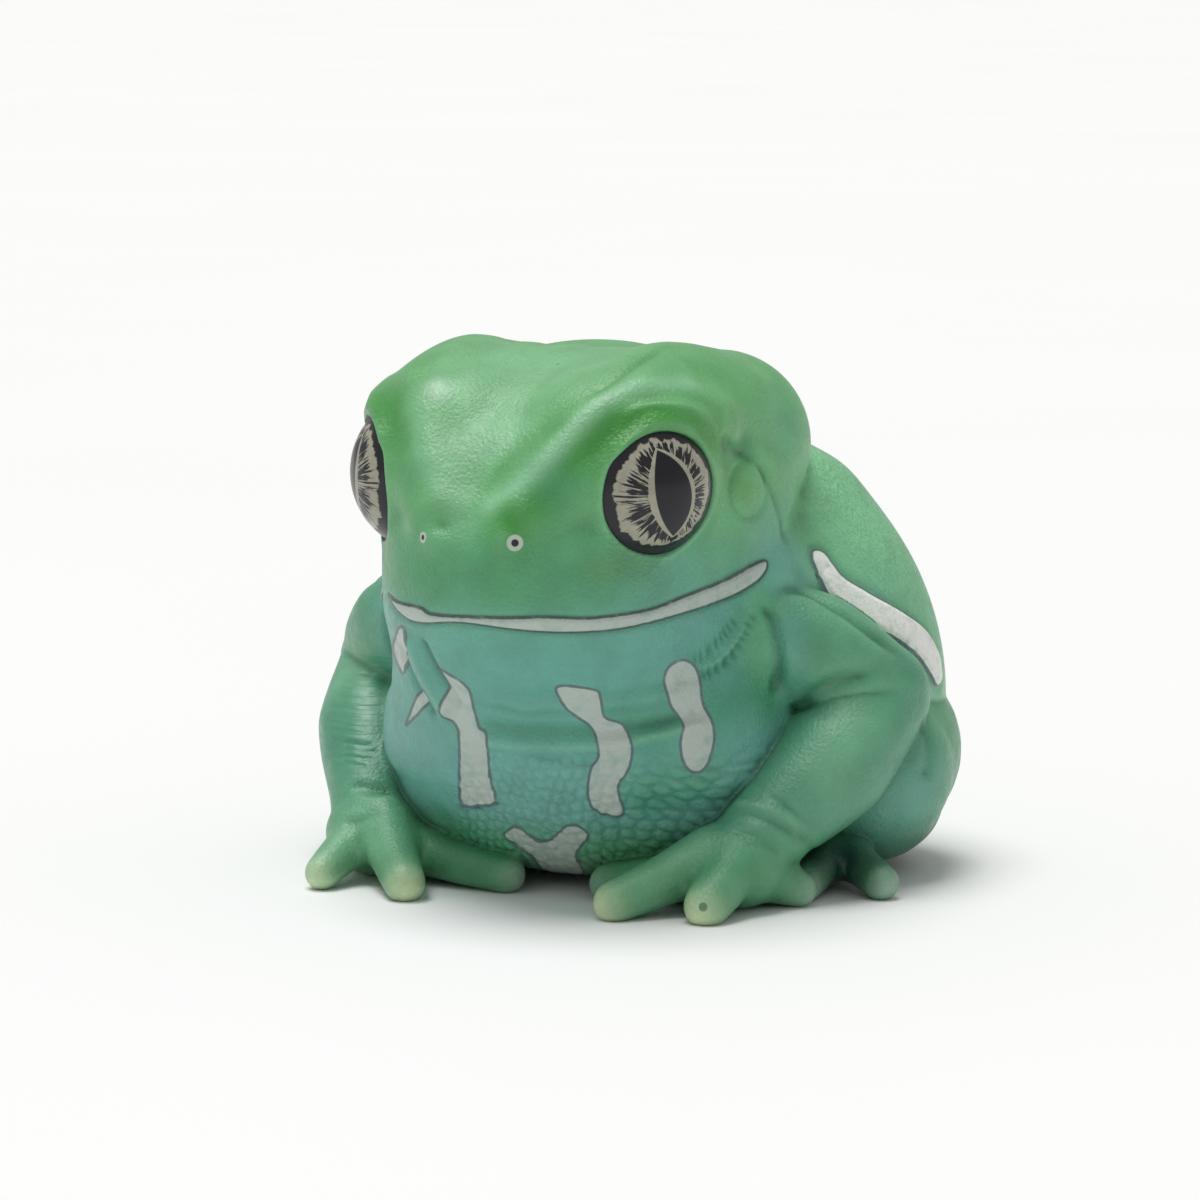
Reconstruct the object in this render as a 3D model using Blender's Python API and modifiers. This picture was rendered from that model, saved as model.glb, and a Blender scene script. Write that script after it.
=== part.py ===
"""A seated waxy monkey tree frog, made as a moulded and painted toy figure.

The frog faces -Y and +X is its left side. Z 0 is the floor, and the origin is under the middle of the figure.
Sizes are in millimetres times MM, so that the scene is in metres.
"""

import math

import bmesh
import bpy
from mathutils import Matrix, Vector

MM = 0.001

# Driving sizes, in millimetres
TRUNK_HALF_WIDTH = 38.3
EYE_CENTRE = Vector((13.4, -22.5, 52.4))
EYE_RADIUS = 10.0
EYE_RIM_RADIUS = 7.5
EYE_RIM_DEPTH = 6.4
EYE_TURN = math.radians(54.0)
EYE_DROP = math.radians(6.0)
EYE_AXIS = Vector(
    (
        math.sin(EYE_TURN) * math.cos(EYE_DROP),
        -math.cos(EYE_TURN) * math.cos(EYE_DROP),
        -math.sin(EYE_DROP),
    )
)
EYE_BUMP_BACK = 4.5
EYE_BUMP_RADII = (13.9, 13.9, 13.4)
GAP = 0.3

# Fineness: a voxel in millimetres, rounds of smoothing, and triangles for a finished piece
BODY_VOXEL = 0.9
BODY_ROUNDS = 14
LIMB_VOXEL = 0.7
LIMB_ROUNDS = 6
BODY_TRIANGLES = 3900
ARM_TRIANGLES = 1150
THIGH_TRIANGLES = 400
SHANK_TRIANGLES = 300
FOOT_TRIANGLES = 800
EYE_SEGMENTS = 28
STACK_SIDES = 64
DISC_SIDES = 48

# Tools that cut, in millimetres
OPENING_THICKNESS = 8.0
ELBOW_CUT_RADIUS = 16.0
WRIST_CUT_RADIUS = 12.0
REACH = 90.0

COLOURS = {
    "green": (0.10, 0.36, 0.14),
    "teal": (0.09, 0.30, 0.21),
    "black": (0.01, 0.01, 0.012),
}
ROUGHNESS = 0.45


def clear_scene():
    for obj in list(bpy.data.objects):
        bpy.data.objects.remove(obj)


def material(name, colour):
    made = bpy.data.materials.new(name)
    made.use_nodes = True
    shader = made.node_tree.nodes["Principled BSDF"]
    shader.inputs["Base Color"].default_value = (*colour, 1.0)
    shader.inputs["Roughness"].default_value = ROUGHNESS
    return made


def collection(name):
    made = bpy.data.collections.new(name)
    bpy.context.scene.collection.children.link(made)
    return made


def evaluated_mesh(obj):
    """The object's mesh with its modifiers applied, in world space. The object is removed."""
    bpy.context.view_layer.update()
    graph = bpy.context.evaluated_depsgraph_get()
    mesh = bpy.data.meshes.new_from_object(obj.evaluated_get(graph))
    mesh.transform(obj.matrix_world)
    bpy.data.objects.remove(obj)
    return mesh


def loose_object(mesh, name="work"):
    obj = bpy.data.objects.new(name, mesh)
    bpy.context.scene.collection.objects.link(obj)
    return obj


def finished_mesh(bm, name):
    mesh = bpy.data.meshes.new(name)
    bm.to_mesh(mesh)
    bm.free()
    return mesh


def ellipsoid(centre, radii, under=None):
    """An ellipsoid, or an egg whose lower half reaches only as far down as under."""
    bm = bmesh.new()
    bmesh.ops.create_icosphere(bm, subdivisions=4, radius=1.0)
    for vert in bm.verts:
        if under and vert.co.z < 0:
            vert.co.z *= under / radii[2]
    size = Matrix.Diagonal((*[r * MM for r in radii], 1.0))
    bm.transform(Matrix.Translation(Vector(centre) * MM) @ size)
    return finished_mesh(bm, "ellipsoid")


def limb(stations):
    """A round-ended tapering tube through stations of x, y, z and radius."""
    data = bpy.data.curves.new("limb", "CURVE")
    data.dimensions = "3D"
    data.bevel_depth = MM
    data.bevel_resolution = 6
    data.resolution_u = 8
    data.use_fill_caps = True
    spline = data.splines.new("BEZIER")
    spline.bezier_points.add(len(stations) - 1)
    for point, (x, y, z, radius) in zip(spline.bezier_points, stations):
        point.co = Vector((x, y, z)) * MM
        point.radius = radius
        point.handle_left_type = point.handle_right_type = "AUTO"
    meshes = [evaluated_mesh(loose_object(data))]
    for x, y, z, radius in (stations[0], stations[-1]):
        meshes.append(ellipsoid((x, y, z), (radius,) * 3))
    return meshes


def stack(levels, middle):
    """An upright form through levels of height, half width and half depth, round a middle plane's Y."""
    bm = bmesh.new()
    turns = [2 * math.pi * step / STACK_SIDES for step in range(STACK_SIDES)]
    rings = []
    for height, wide, deep in levels:
        ring = [Vector((wide * math.cos(t), middle + deep * math.sin(t), height)) for t in turns]
        rings.append([bm.verts.new(place * MM) for place in ring])
    for upper, lower in zip(rings, rings[1:]):
        for index in range(STACK_SIDES):
            after = (index + 1) % STACK_SIDES
            bm.faces.new((upper[index], lower[index], lower[after], upper[after]))
    bm.faces.new(rings[0])
    bm.faces.new(rings[-1][::-1])
    return finished_mesh(bm, "stack")


def joined(meshes):
    bm = bmesh.new()
    for mesh in meshes:
        bm.from_mesh(mesh)
    return finished_mesh(bm, "joined")


def fused(meshes, voxel, rounds):
    """One smooth skin round overlapping pieces. More rounds give wider fillets where the pieces meet."""
    obj = loose_object(joined(meshes))
    skin = obj.modifiers.new("skin", "REMESH")
    skin.mode = "VOXEL"
    skin.voxel_size = voxel * MM
    fillet = obj.modifiers.new("fillet", "SMOOTH")
    fillet.factor = 0.5
    fillet.iterations = rounds
    return evaluated_mesh(obj)


def thinned(mesh, triangles):
    """The mesh with about so many triangles."""
    mesh.calc_loop_triangles()
    obj = loose_object(mesh)
    fewer = obj.modifiers.new("fewer", "DECIMATE")
    fewer.ratio = triangles / len(mesh.loop_triangles)
    fewer.use_collapse_triangulate = True
    return evaluated_mesh(obj)


def cut_by(mesh, tool):
    """The mesh without what lies inside the tool. The tool is kept."""
    obj = loose_object(mesh)
    cutter = loose_object(tool, "cutter")
    cut = obj.modifiers.new("cut", "BOOLEAN")
    cut.operation = "DIFFERENCE"
    cut.solver = "EXACT"
    cut.object = cutter
    made = evaluated_mesh(obj)
    bpy.data.objects.remove(cutter)
    return made


def grown(mesh, distance):
    """A copy of a closed mesh, offset outwards."""
    obj = loose_object(mesh.copy())
    offset = obj.modifiers.new("offset", "DISPLACE")
    offset.mid_level = 0.0
    offset.strength = distance * MM
    return evaluated_mesh(obj)


def box(low, high):
    bm = bmesh.new()
    bmesh.ops.create_cube(bm, size=1.0)
    low, high = Vector(low) * MM, Vector(high) * MM
    size = Matrix.Diagonal((*(high - low), 1.0))
    bm.transform(Matrix.Translation((low + high) / 2) @ size)
    return finished_mesh(bm, "box")


def turned_to(bm, point, direction):
    """Turns a form from Z to a direction and moves it to a point."""
    turn = Vector((0, 0, 1)).rotation_difference(Vector(direction)).to_matrix().to_4x4()
    bm.transform(Matrix.Translation(Vector(point) * MM) @ turn)


def ball(centre, radius, pole):
    """A sphere whose rings run round a pole direction."""
    bm = bmesh.new()
    bmesh.ops.create_uvsphere(bm, u_segments=EYE_SEGMENTS, v_segments=EYE_SEGMENTS // 2, radius=radius * MM)
    turned_to(bm, centre, pole)
    return finished_mesh(bm, "ball")


def disc(point, normal, radius, thickness):
    """A round plate with its middle at a point."""
    bm = bmesh.new()
    bmesh.ops.create_cone(
        bm,
        cap_ends=True,
        segments=DISC_SIDES,
        radius1=radius * MM,
        radius2=radius * MM,
        depth=thickness * MM,
    )
    turned_to(bm, point, normal)
    return finished_mesh(bm, "disc")


def loose_parts(mesh):
    """The separate closed surfaces of a mesh, largest first."""
    bm = bmesh.new()
    bm.from_mesh(mesh)
    bm.verts.ensure_lookup_table()
    group = {}
    for seed in bm.verts:
        if seed in group:
            continue
        group[seed] = seed.index
        edge = [seed]
        while edge:
            vert = edge.pop()
            for link in vert.link_edges:
                other = link.other_vert(vert)
                if other not in group:
                    group[other] = seed.index
                    edge.append(other)
    parts = []
    for name in sorted(set(group.values())):
        part = bm.copy()
        part.verts.ensure_lookup_table()
        drop = [part.verts[vert.index] for vert in bm.verts if group[vert] != name]
        bmesh.ops.delete(part, geom=drop, context="VERTS")
        volume = part.calc_volume(signed=True)
        parts.append((volume, finished_mesh(part, "part")))
    bm.free()
    parts.sort(key=lambda pair: -pair[0])
    return [made for _, made in parts]


def nearest_part(parts, point):
    """The part whose middle is nearest to a point."""
    target = Vector(point) * MM

    def away(mesh):
        middle = sum((vert.co for vert in mesh.vertices), Vector()) / len(mesh.vertices)
        return (middle - target).length

    return min(parts, key=away)


def mirrored(mesh):
    """The same piece for the other side."""
    bm = bmesh.new()
    bm.from_mesh(mesh)
    bm.transform(Matrix.Diagonal((-1.0, 1.0, 1.0, 1.0)))
    bmesh.ops.reverse_faces(bm, faces=bm.faces)
    return finished_mesh(bm, "mirrored")


def both_sides(meshes):
    return meshes + [mirrored(mesh) for mesh in meshes]


# Head and trunk

HEAD_FORMS = [((0, -4, 48), (25, 27, 19.6)), ((0, -7, 44.5), (22.4, 33.4, 11.5))]
# Jaw and throat: height, half width and half depth
THROAT_MIDDLE = -7.0
THROAT = [
    (48.0, 21.3, 31.0),
    (44.5, 22.4, 33.1),
    (41.0, 22.5, 33.4),
    (38.0, 22.6, 33.0),
    (35.0, 22.9, 31.6),
    (31.0, 22.6, 29.2),
    (27.0, 23.2, 26.8),
    (23.0, 24.8, 24.4),
    (18.0, 26.2, 22.0),
    (14.0, 26.0, 20.0),
]
BROW = [
    (6.0, -34.5, 49.0, 4.5),
    (9.5, -29.0, 54.5, 6.0),
    (12.2, -22.0, 58.5, 7.8),
    (12.6, -14.0, 60.2, 8.2),
    (13.9, -6.0, 58.6, 9.2),
    (13.4, 3.6, 54.6, 11.8),
]
FOREHEAD = [
    (0.0, -33.0, 48.0, 5.0),
    (0.0, -28.0, 51.7, 7.5),
    (0.0, -21.0, 54.9, 9.5),
    (0.0, -12.0, 57.2, 10.5),
]
FOREHEAD_SIDE = [
    (3.4, -34.0, 48.4, 4.6),
    (5.2, -28.8, 53.0, 6.4),
    (6.4, -21.5, 57.0, 8.0),
    (6.4, -13.0, 58.6, 9.2),
]
LID = [
    (15.7, -28.3, 56.6, 3.9),
    (18.2, -20.5, 59.4, 4.8),
    (18.4, -13.5, 58.6, 5.4),
]
TRUNK_FORMS = [
    ((0, 16.7, 21.5), (TRUNK_HALF_WIDTH, 23.7, 36.8), 20.6),
    ((0, 2, 34), (28, 25.5, 21)),
    ((0, -5, 20.2), (26.8, 23, 19.2)),
    ((0, -7, 12.5), (25, 16.5, 11.7)),
]


def build_body():
    forms = [ellipsoid(*form) for form in HEAD_FORMS + TRUNK_FORMS]
    forms += limb(FOREHEAD) + both_sides(limb(FOREHEAD_SIDE) + limb(BROW) + limb(LID))
    forms.append(stack(THROAT, THROAT_MIDDLE))
    forms += both_sides([ellipsoid(EYE_CENTRE - EYE_AXIS * EYE_BUMP_BACK, EYE_BUMP_RADII)])
    return fused(forms, BODY_VOXEL, BODY_ROUNDS)


# Arm: the frog's left, with the fingers of each hand

ARM = [
    (22.5, -4.0, 32.5, 6.5),
    (27.8, 0.0, 29.8, 7.4),
    (34.2, 6.2, 23.8, 6.6),
]
FOREARM = [
    (34.2, 6.2, 23.2, 6.6),
    (31.6, -3.0, 16.2, 7.5),
    (26.7, -13.5, 8.6, 5.3),
]
ELBOW = (34.2, 6.2, 23.5)
ELBOW_CUT = (-0.34, 0.18, 0.92)
WRIST = (27.9, -11.2, 10.2)
WRIST_CUT = (0.30, 0.80, 0.50)
PALM = (24.5, -16.0, 5.4)
PALM_RADII = (6.7, 6.7, 5.5)
SECOND_FINGER = [(22.5, -18.0, 6.3, 4.2), (18.0, -24.0, 4.0, 3.1), (14.2, -28.8, 2.1, 2.7)]
LEFT_FINGERS = [
    [(22.0, -17.0, 5.0, 3.6), (15.0, -18.3, 3.2, 2.8), (9.0, -19.0, 2.2, 2.6)],
    SECOND_FINGER,
    [(25.0, -17.0, 6.3, 4.2), (25.6, -22.5, 4.0, 3.2), (25.1, -26.0, 2.1, 2.9)],
    [(26.0, -15.5, 4.6, 4.0), (29.0, -13.5, 3.2, 2.9), (31.2, -11.9, 2.1, 2.4)],
]
RIGHT_FINGERS = [
    [(22.0, -17.0, 5.0, 3.6), (13.0, -18.3, 3.2, 2.8), (4.9, -19.2, 2.2, 2.5)],
    SECOND_FINGER,
    [(25.0, -17.0, 6.0, 4.0), (26.2, -23.2, 3.6, 2.7), (26.6, -27.2, 2.0, 2.3)],
    [(26.0, -15.5, 4.6, 4.0), (28.0, -13.6, 3.2, 2.8), (29.4, -12.3, 2.0, 2.2)],
]


def build_arm(fingers):
    forms = limb(ARM) + limb(FOREARM)
    forms.append(ellipsoid(PALM, PALM_RADII))
    for finger in fingers:
        forms += limb(finger)
    return fused(forms, LIMB_VOXEL, LIMB_ROUNDS)


# Leg: the frog's left, with the outer toe of each foot

THIGH = [
    (16.0, 26.0, 18.0, 10.0),
    (27.8, 20.0, 15.4, 11.2),
    (31.2, 10.5, 13.6, 10.8),
]
SHANK = [
    (32.5, 10.0, 10.0, 8.0),
    (30.5, 18.0, 8.8, 7.6),
    (25.0, 26.5, 6.4, 5.5),
]
FOOT = [
    (25.0, 26.5, 5.0, 4.8),
    (26.0, 14.0, 4.0, 4.4),
    (28.0, 5.0, 3.8, 4.2),
]
TOES = [
    [(26.0, 6.0, 3.6, 3.2), (17.0, 0.0, 2.6, 2.4), (12.0, -3.5, 2.1, 2.4)],
    [(26.5, 4.0, 3.6, 3.2), (20.0, -4.0, 2.6, 2.4), (16.0, -8.5, 2.1, 2.4)],
    [(28.0, 3.0, 3.6, 3.2), (25.5, -6.0, 2.8, 2.5), (23.5, -11.5, 2.1, 2.4)],
    [(29.5, 3.0, 3.8, 3.2), (30.6, -5.0, 3.0, 2.5), (30.6, -9.0, 2.1, 2.4)],
]
LEFT_TOE = [(30.0, 5.0, 4.0, 3.4), (35.5, -1.0, 3.0, 2.5), (38.7, -3.5, 2.0, 2.4)]
RIGHT_TOE = [(30.0, 5.0, 4.0, 3.4), (33.5, -0.5, 3.0, 2.5), (34.0, -5.0, 2.0, 2.4)]


def build_foot(last_toe):
    forms = limb(FOOT)
    for toe in TOES + [last_toe]:
        forms += limb(toe)
    return fused(forms, LIMB_VOXEL, LIMB_ROUNDS)


# Seams between head, lower jaw and torso, as runs across the middle plane

MOUTH_BACK = (0.0, -8.0, 41.3)
JAW_BACK = (0.0, -9.0, 35.5)
SEAMS = [
    (MOUTH_BACK, (0.0, -60.0, 35.0)),
    (MOUTH_BACK, (0.0, 40.0, 81.0)),
    (MOUTH_BACK, JAW_BACK),
    (JAW_BACK, (0.0, -60.0, 16.0)),
]


def seam(start, end):
    """A thin plate as wide as the figure, between two points of its middle plane."""
    start, end = Vector(start), Vector(end)
    run = (end - start).normalized()
    across = Vector((1, 0, 0))
    start -= run * GAP
    mesh = box((-REACH, 0.0, -GAP / 2), (REACH, (end - start).length, GAP / 2))
    frame = Matrix((across, run, across.cross(run))).transposed().to_4x4()
    mesh.transform(Matrix.Translation(start * MM) @ frame)
    return mesh


def main():
    clear_scene()
    frog = collection("frog")
    paints = {name: material(name, colour) for name, colour in COLOURS.items()}

    def finish(name, mesh, paint="green"):
        mesh.materials.clear()
        mesh.materials.append(paints[paint])
        mesh.shade_smooth()
        frog.objects.link(bpy.data.objects.new(name, mesh))

    eye = ball(EYE_CENTRE, EYE_RADIUS, EYE_AXIS)
    body = thinned(build_body(), BODY_TRIANGLES)
    clear_of_body = grown(body, GAP)
    rim = EYE_CENTRE + EYE_AXIS * (EYE_RIM_DEPTH + OPENING_THICKNESS / 2)
    opening = disc(rim, EYE_AXIS, EYE_RIM_RADIUS + GAP, OPENING_THICKNESS)
    socket = ball(EYE_CENTRE, EYE_RADIUS + GAP, EYE_AXIS)
    for cutter in (socket, opening):
        body = cut_by(cut_by(body, mirrored(cutter)), cutter)
    for start, end in SEAMS:
        body = cut_by(body, seam(start, end))
    parts = loose_parts(body)
    finish("head", nearest_part(parts, (0, -10, 55)))
    finish("lower_jaw", nearest_part(parts, (0, -28, 34)), "teal")
    finish("torso", nearest_part(parts, (0, 10, 30)))
    finish("eye_left", eye, "black")
    finish("eye_right", mirrored(eye), "black")

    floor = box((-REACH, -REACH, -REACH), (REACH, REACH, 0.0))
    whole_thigh = thinned(fused(limb(THIGH), LIMB_VOXEL, LIMB_ROUNDS), THIGH_TRIANGLES)
    whole_shank = thinned(fused(limb(SHANK), LIMB_VOXEL, LIMB_ROUNDS), SHANK_TRIANGLES)
    sides = (
        ("_left", LEFT_FINGERS, LEFT_TOE, clear_of_body),
        ("_right", RIGHT_FINGERS, RIGHT_TOE, mirrored(clear_of_body)),
    )
    for side, fingers, toe, around_body in sides:
        arm = thinned(build_arm(fingers), ARM_TRIANGLES)
        around = [around_body, grown(arm, GAP), grown(whole_thigh, GAP), grown(whole_shank, GAP)]
        elbow = disc(ELBOW, ELBOW_CUT, ELBOW_CUT_RADIUS, GAP)
        wrist = disc(WRIST, WRIST_CUT, WRIST_CUT_RADIUS, GAP)
        for cutter in (around_body, floor, elbow, wrist):
            arm = cut_by(arm, cutter)
        parts = loose_parts(arm)
        pieces = {
            "upper_arm": nearest_part(parts, ARM[1][:3]),
            "forearm": nearest_part(parts, FOREARM[1][:3]),
            "hand": nearest_part(parts, PALM),
        }
        foot = thinned(build_foot(toe), FOOT_TRIANGLES)
        for name, piece, cutters in (
            ("thigh", whole_thigh, around[:2]),
            ("shank", whole_shank, around[:3] + [floor]),
            ("foot", foot, around + [floor]),
        ):
            for cutter in cutters:
                piece = cut_by(piece, cutter)
            pieces[name] = loose_parts(piece)[0]
        for name, piece in pieces.items():
            finish(name + side, mirrored(piece) if side == "_right" else piece)


main()
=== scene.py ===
"""The looks of a moulded and painted toy figure of a waxy monkey tree frog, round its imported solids.

The frog faces -Y, +X is its left side and Z 0 is the floor. Sizes and places are in millimetres, and
become metres where a mesh is made. A place seen in the photograph is a pixel of its 1200 x 1200 frame.
"""

import math

import bmesh
import bpy
import numpy as np
from mathutils import Matrix, Vector
from mathutils.bvhtree import BVHTree


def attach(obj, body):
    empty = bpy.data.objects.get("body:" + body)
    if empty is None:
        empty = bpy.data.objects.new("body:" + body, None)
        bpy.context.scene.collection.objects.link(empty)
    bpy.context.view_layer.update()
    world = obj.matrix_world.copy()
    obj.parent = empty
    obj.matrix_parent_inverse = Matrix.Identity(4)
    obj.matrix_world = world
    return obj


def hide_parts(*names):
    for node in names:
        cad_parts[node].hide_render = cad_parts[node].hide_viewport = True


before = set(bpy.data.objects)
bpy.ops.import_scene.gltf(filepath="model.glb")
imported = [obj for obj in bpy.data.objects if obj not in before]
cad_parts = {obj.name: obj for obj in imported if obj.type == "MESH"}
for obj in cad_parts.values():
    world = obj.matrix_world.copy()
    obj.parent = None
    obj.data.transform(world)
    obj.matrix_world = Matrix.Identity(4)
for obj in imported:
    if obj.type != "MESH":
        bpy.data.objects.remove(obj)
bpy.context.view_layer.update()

MM = 0.001

# Camera, as the photograph was taken

PHOTO_SIDE = 1200.0
PIXELS_PER_MM = 8.0
AZIMUTH = math.radians(25.0)
ELEVATION = math.radians(8.0)
CAMERA_DISTANCE = 600.0
SENSOR = 36.0
TARGET_RIGHT = 3.85
TARGET_UP = 35.5
TARGET_FORWARD = 11.5

BACK = np.array(
    [
        math.sin(AZIMUTH) * math.cos(ELEVATION),
        -math.cos(AZIMUTH) * math.cos(ELEVATION),
        math.sin(ELEVATION),
    ]
)
RIGHT = np.array([math.cos(AZIMUTH), math.sin(AZIMUTH), 0.0])
UP = np.cross(BACK, RIGHT)
TARGET = TARGET_RIGHT * RIGHT + TARGET_UP * UP - np.array([0.0, TARGET_FORWARD, 0.0])
CAMERA = TARGET + CAMERA_DISTANCE * BACK
FOCAL = PIXELS_PER_MM * CAMERA_DISTANCE


def make_camera():
    data = bpy.data.cameras.new("camera")
    data.sensor_width = SENSOR
    data.lens = SENSOR * FOCAL / PHOTO_SIDE
    data.clip_end = 20.0
    camera = bpy.data.objects.new("camera", data)
    camera.location = Vector(CAMERA) * MM
    camera.rotation_mode = "QUATERNION"
    camera.rotation_quaternion = Vector(-BACK).to_track_quat("-Z", "Y")
    bpy.context.scene.collection.objects.link(camera)
    bpy.context.scene.camera = camera


def to_pixels(points):
    """The photograph's pixel of each point."""
    offset = points - CAMERA
    depth = -(offset @ BACK)
    across = PHOTO_SIDE / 2 + FOCAL * (offset @ RIGHT) / depth
    down = PHOTO_SIDE / 2 - FOCAL * (offset @ UP) / depth
    return np.stack([across, down], axis=1)


def sight_line(pixel):
    """The direction from the camera through a pixel."""
    u, v = pixel
    line = -BACK * FOCAL + RIGHT * (u - PHOTO_SIDE / 2) - UP * (v - PHOTO_SIDE / 2)
    return line / np.linalg.norm(line)


# Mesh helpers


def evaluated_mesh(obj):
    """The object's mesh with its modifiers applied, in world space. The object is removed."""
    bpy.context.view_layer.update()
    graph = bpy.context.evaluated_depsgraph_get()
    mesh = bpy.data.meshes.new_from_object(obj.evaluated_get(graph))
    mesh.transform(obj.matrix_world)
    bpy.data.objects.remove(obj)
    return mesh


def placed(name, mesh):
    obj = bpy.data.objects.new(name, mesh)
    bpy.context.scene.collection.objects.link(obj)
    return obj


def finished(bm, name):
    """A mesh from a bmesh, which is freed."""
    mesh = bpy.data.meshes.new(name)
    bm.to_mesh(mesh)
    bm.free()
    return mesh


def ellipsoid(centre, radii, under=None):
    """An ellipsoid, or an egg whose lower half reaches only as far down as under."""
    bm = bmesh.new()
    bmesh.ops.create_icosphere(bm, subdivisions=5, radius=1.0)
    for vert in bm.verts:
        if under and vert.co.z < 0:
            vert.co.z *= under / radii[2]
    size = Matrix.Diagonal((*[r * MM for r in radii], 1.0))
    bm.transform(Matrix.Translation(Vector(centre) * MM) @ size)
    return finished(bm, "ellipsoid")


def limb(stations):
    """A round-ended tapering tube through stations of x, y, z and radius."""
    data = bpy.data.curves.new("limb", "CURVE")
    data.dimensions = "3D"
    data.bevel_depth = MM
    data.bevel_resolution = 10
    data.resolution_u = 16
    data.use_fill_caps = True
    spline = data.splines.new("BEZIER")
    spline.bezier_points.add(len(stations) - 1)
    for point, (x, y, z, radius) in zip(spline.bezier_points, stations):
        point.co = Vector((x, y, z)) * MM
        point.radius = radius
        point.handle_left_type = point.handle_right_type = "AUTO"
    meshes = [evaluated_mesh(placed("limb", data))]
    for x, y, z, radius in (stations[0], stations[-1]):
        meshes.append(ellipsoid((x, y, z), (radius,) * 3))
    return meshes


STACK_SIDES = 96
STACK_STEPS = 6


def stack(levels, middle):
    """A smooth upright form through levels of height, half width and half depth, round a plane's Y."""
    bm = bmesh.new()
    rings = []
    for height, wide, deep in curve_through(levels, STACK_STEPS):
        turns = [2 * math.pi * side / STACK_SIDES for side in range(STACK_SIDES)]
        ring = [(wide * math.cos(t), middle + deep * math.sin(t), height) for t in turns]
        rings.append([bm.verts.new(Vector(place) * MM) for place in ring])
    for upper, lower in zip(rings, rings[1:]):
        for index in range(len(upper)):
            after = (index + 1) % len(upper)
            bm.faces.new((upper[index], lower[index], lower[after], upper[after]))
    bm.faces.new(rings[0])
    bm.faces.new(rings[-1][::-1])
    return finished(bm, "stack")


def joined(meshes):
    bm = bmesh.new()
    for mesh in meshes:
        bm.from_mesh(mesh)
    return finished(bm, "joined")


def fused(meshes, voxel, rounds):
    """One smooth skin round overlapping pieces. More rounds widen the fillets where they meet."""
    obj = placed("fused", joined(meshes))
    skin = obj.modifiers.new("skin", "REMESH")
    skin.mode = "VOXEL"
    skin.voxel_size = voxel * MM
    fillet = obj.modifiers.new("fillet", "SMOOTH")
    fillet.factor = 0.5
    fillet.iterations = rounds
    return evaluated_mesh(obj)


def mirrored(mesh):
    """The same piece for the other side."""
    bm = bmesh.new()
    bm.from_mesh(mesh)
    bm.transform(Matrix.Diagonal((-1.0, 1.0, 1.0, 1.0)))
    bmesh.ops.reverse_faces(bm, faces=bm.faces)
    return finished(bm, "mirrored")


def both_sides(meshes):
    return meshes + [mirrored(mesh) for mesh in meshes]


def mesh_points(mesh):
    """The mesh's points in millimetres, one row each."""
    points = np.empty(len(mesh.vertices) * 3, np.float32)
    mesh.vertices.foreach_get("co", points)
    return points.reshape(-1, 3).astype(float) / MM


def move_points(mesh, points):
    """Moves the mesh's points, and flattens what is below the floor into small flats to rest on."""
    points[:, 2] = np.maximum(points[:, 2], 0.0)
    mesh.vertices.foreach_set("co", (points * MM).astype(np.float32).ravel())
    mesh.update()


# The figure's forms, the same as in the solids

EYE_CENTRE = np.array([13.4, -22.5, 52.4])
EYE_RADIUS = 10.0
EYE_TURN = math.radians(54.0)
EYE_DROP = math.radians(6.0)
EYE_AXIS = np.array(
    [
        math.sin(EYE_TURN) * math.cos(EYE_DROP),
        -math.cos(EYE_TURN) * math.cos(EYE_DROP),
        -math.sin(EYE_DROP),
    ]
)
EYE_ACROSS = np.array([math.cos(EYE_TURN), math.sin(EYE_TURN), 0.0])
EYE_BUMP_BACK = 4.5
EYE_BUMP_RADII = (13.9, 13.9, 13.4)

TRUNK_HALF_WIDTH = 38.3
HEAD_FORMS = [((0, -4, 48), (25, 27, 19.6)), ((0, -7, 44.5), (22.4, 33.4, 11.5))]
THROAT_MIDDLE = -7.0
THROAT = [
    (48.0, 21.3, 31.0),
    (44.5, 22.4, 33.1),
    (41.0, 22.5, 33.4),
    (38.0, 22.6, 33.0),
    (35.0, 22.9, 31.6),
    (31.0, 22.6, 29.2),
    (27.0, 23.2, 26.8),
    (23.0, 24.8, 24.4),
    (18.0, 26.2, 22.0),
    (14.0, 26.0, 20.0),
]
BROW = [
    (6.0, -34.5, 49.0, 4.5),
    (9.5, -29.0, 54.5, 6.0),
    (12.2, -22.0, 58.5, 7.8),
    (12.6, -14.0, 60.2, 8.2),
    (13.9, -6.0, 58.6, 9.2),
    (13.4, 3.6, 54.6, 11.8),
]
FOREHEAD = [
    (0.0, -33.0, 48.0, 5.0),
    (0.0, -28.0, 51.7, 7.5),
    (0.0, -21.0, 54.9, 9.5),
    (0.0, -12.0, 57.2, 10.5),
]
FOREHEAD_SIDE = [
    (3.4, -34.0, 48.4, 4.6),
    (5.2, -28.8, 53.0, 6.4),
    (6.4, -21.5, 57.0, 8.0),
    (6.4, -13.0, 58.6, 9.2),
]
LID = [(15.7, -28.3, 56.6, 3.9), (18.2, -20.5, 59.4, 4.8), (18.4, -13.5, 58.6, 5.4)]
TRUNK_FORMS = [
    ((0, 16.7, 21.5), (TRUNK_HALF_WIDTH, 23.7, 36.8), 20.6),
    ((0, 2, 34), (28, 25.5, 21)),
    ((0, -5, 20.2), (26.8, 23, 19.2)),
    ((0, -7, 12.5), (25, 16.5, 11.7)),
]

ARM = [(22.5, -4.0, 32.5, 6.5), (27.8, 0.0, 29.8, 7.4), (34.2, 6.2, 23.8, 6.6)]
FOREARM = [(34.2, 6.2, 23.2, 6.6), (31.6, -3.0, 16.2, 7.5), (26.7, -13.5, 8.6, 5.3)]
PALM = ((24.5, -16.0, 5.4), (6.7, 6.7, 5.5))
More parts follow.
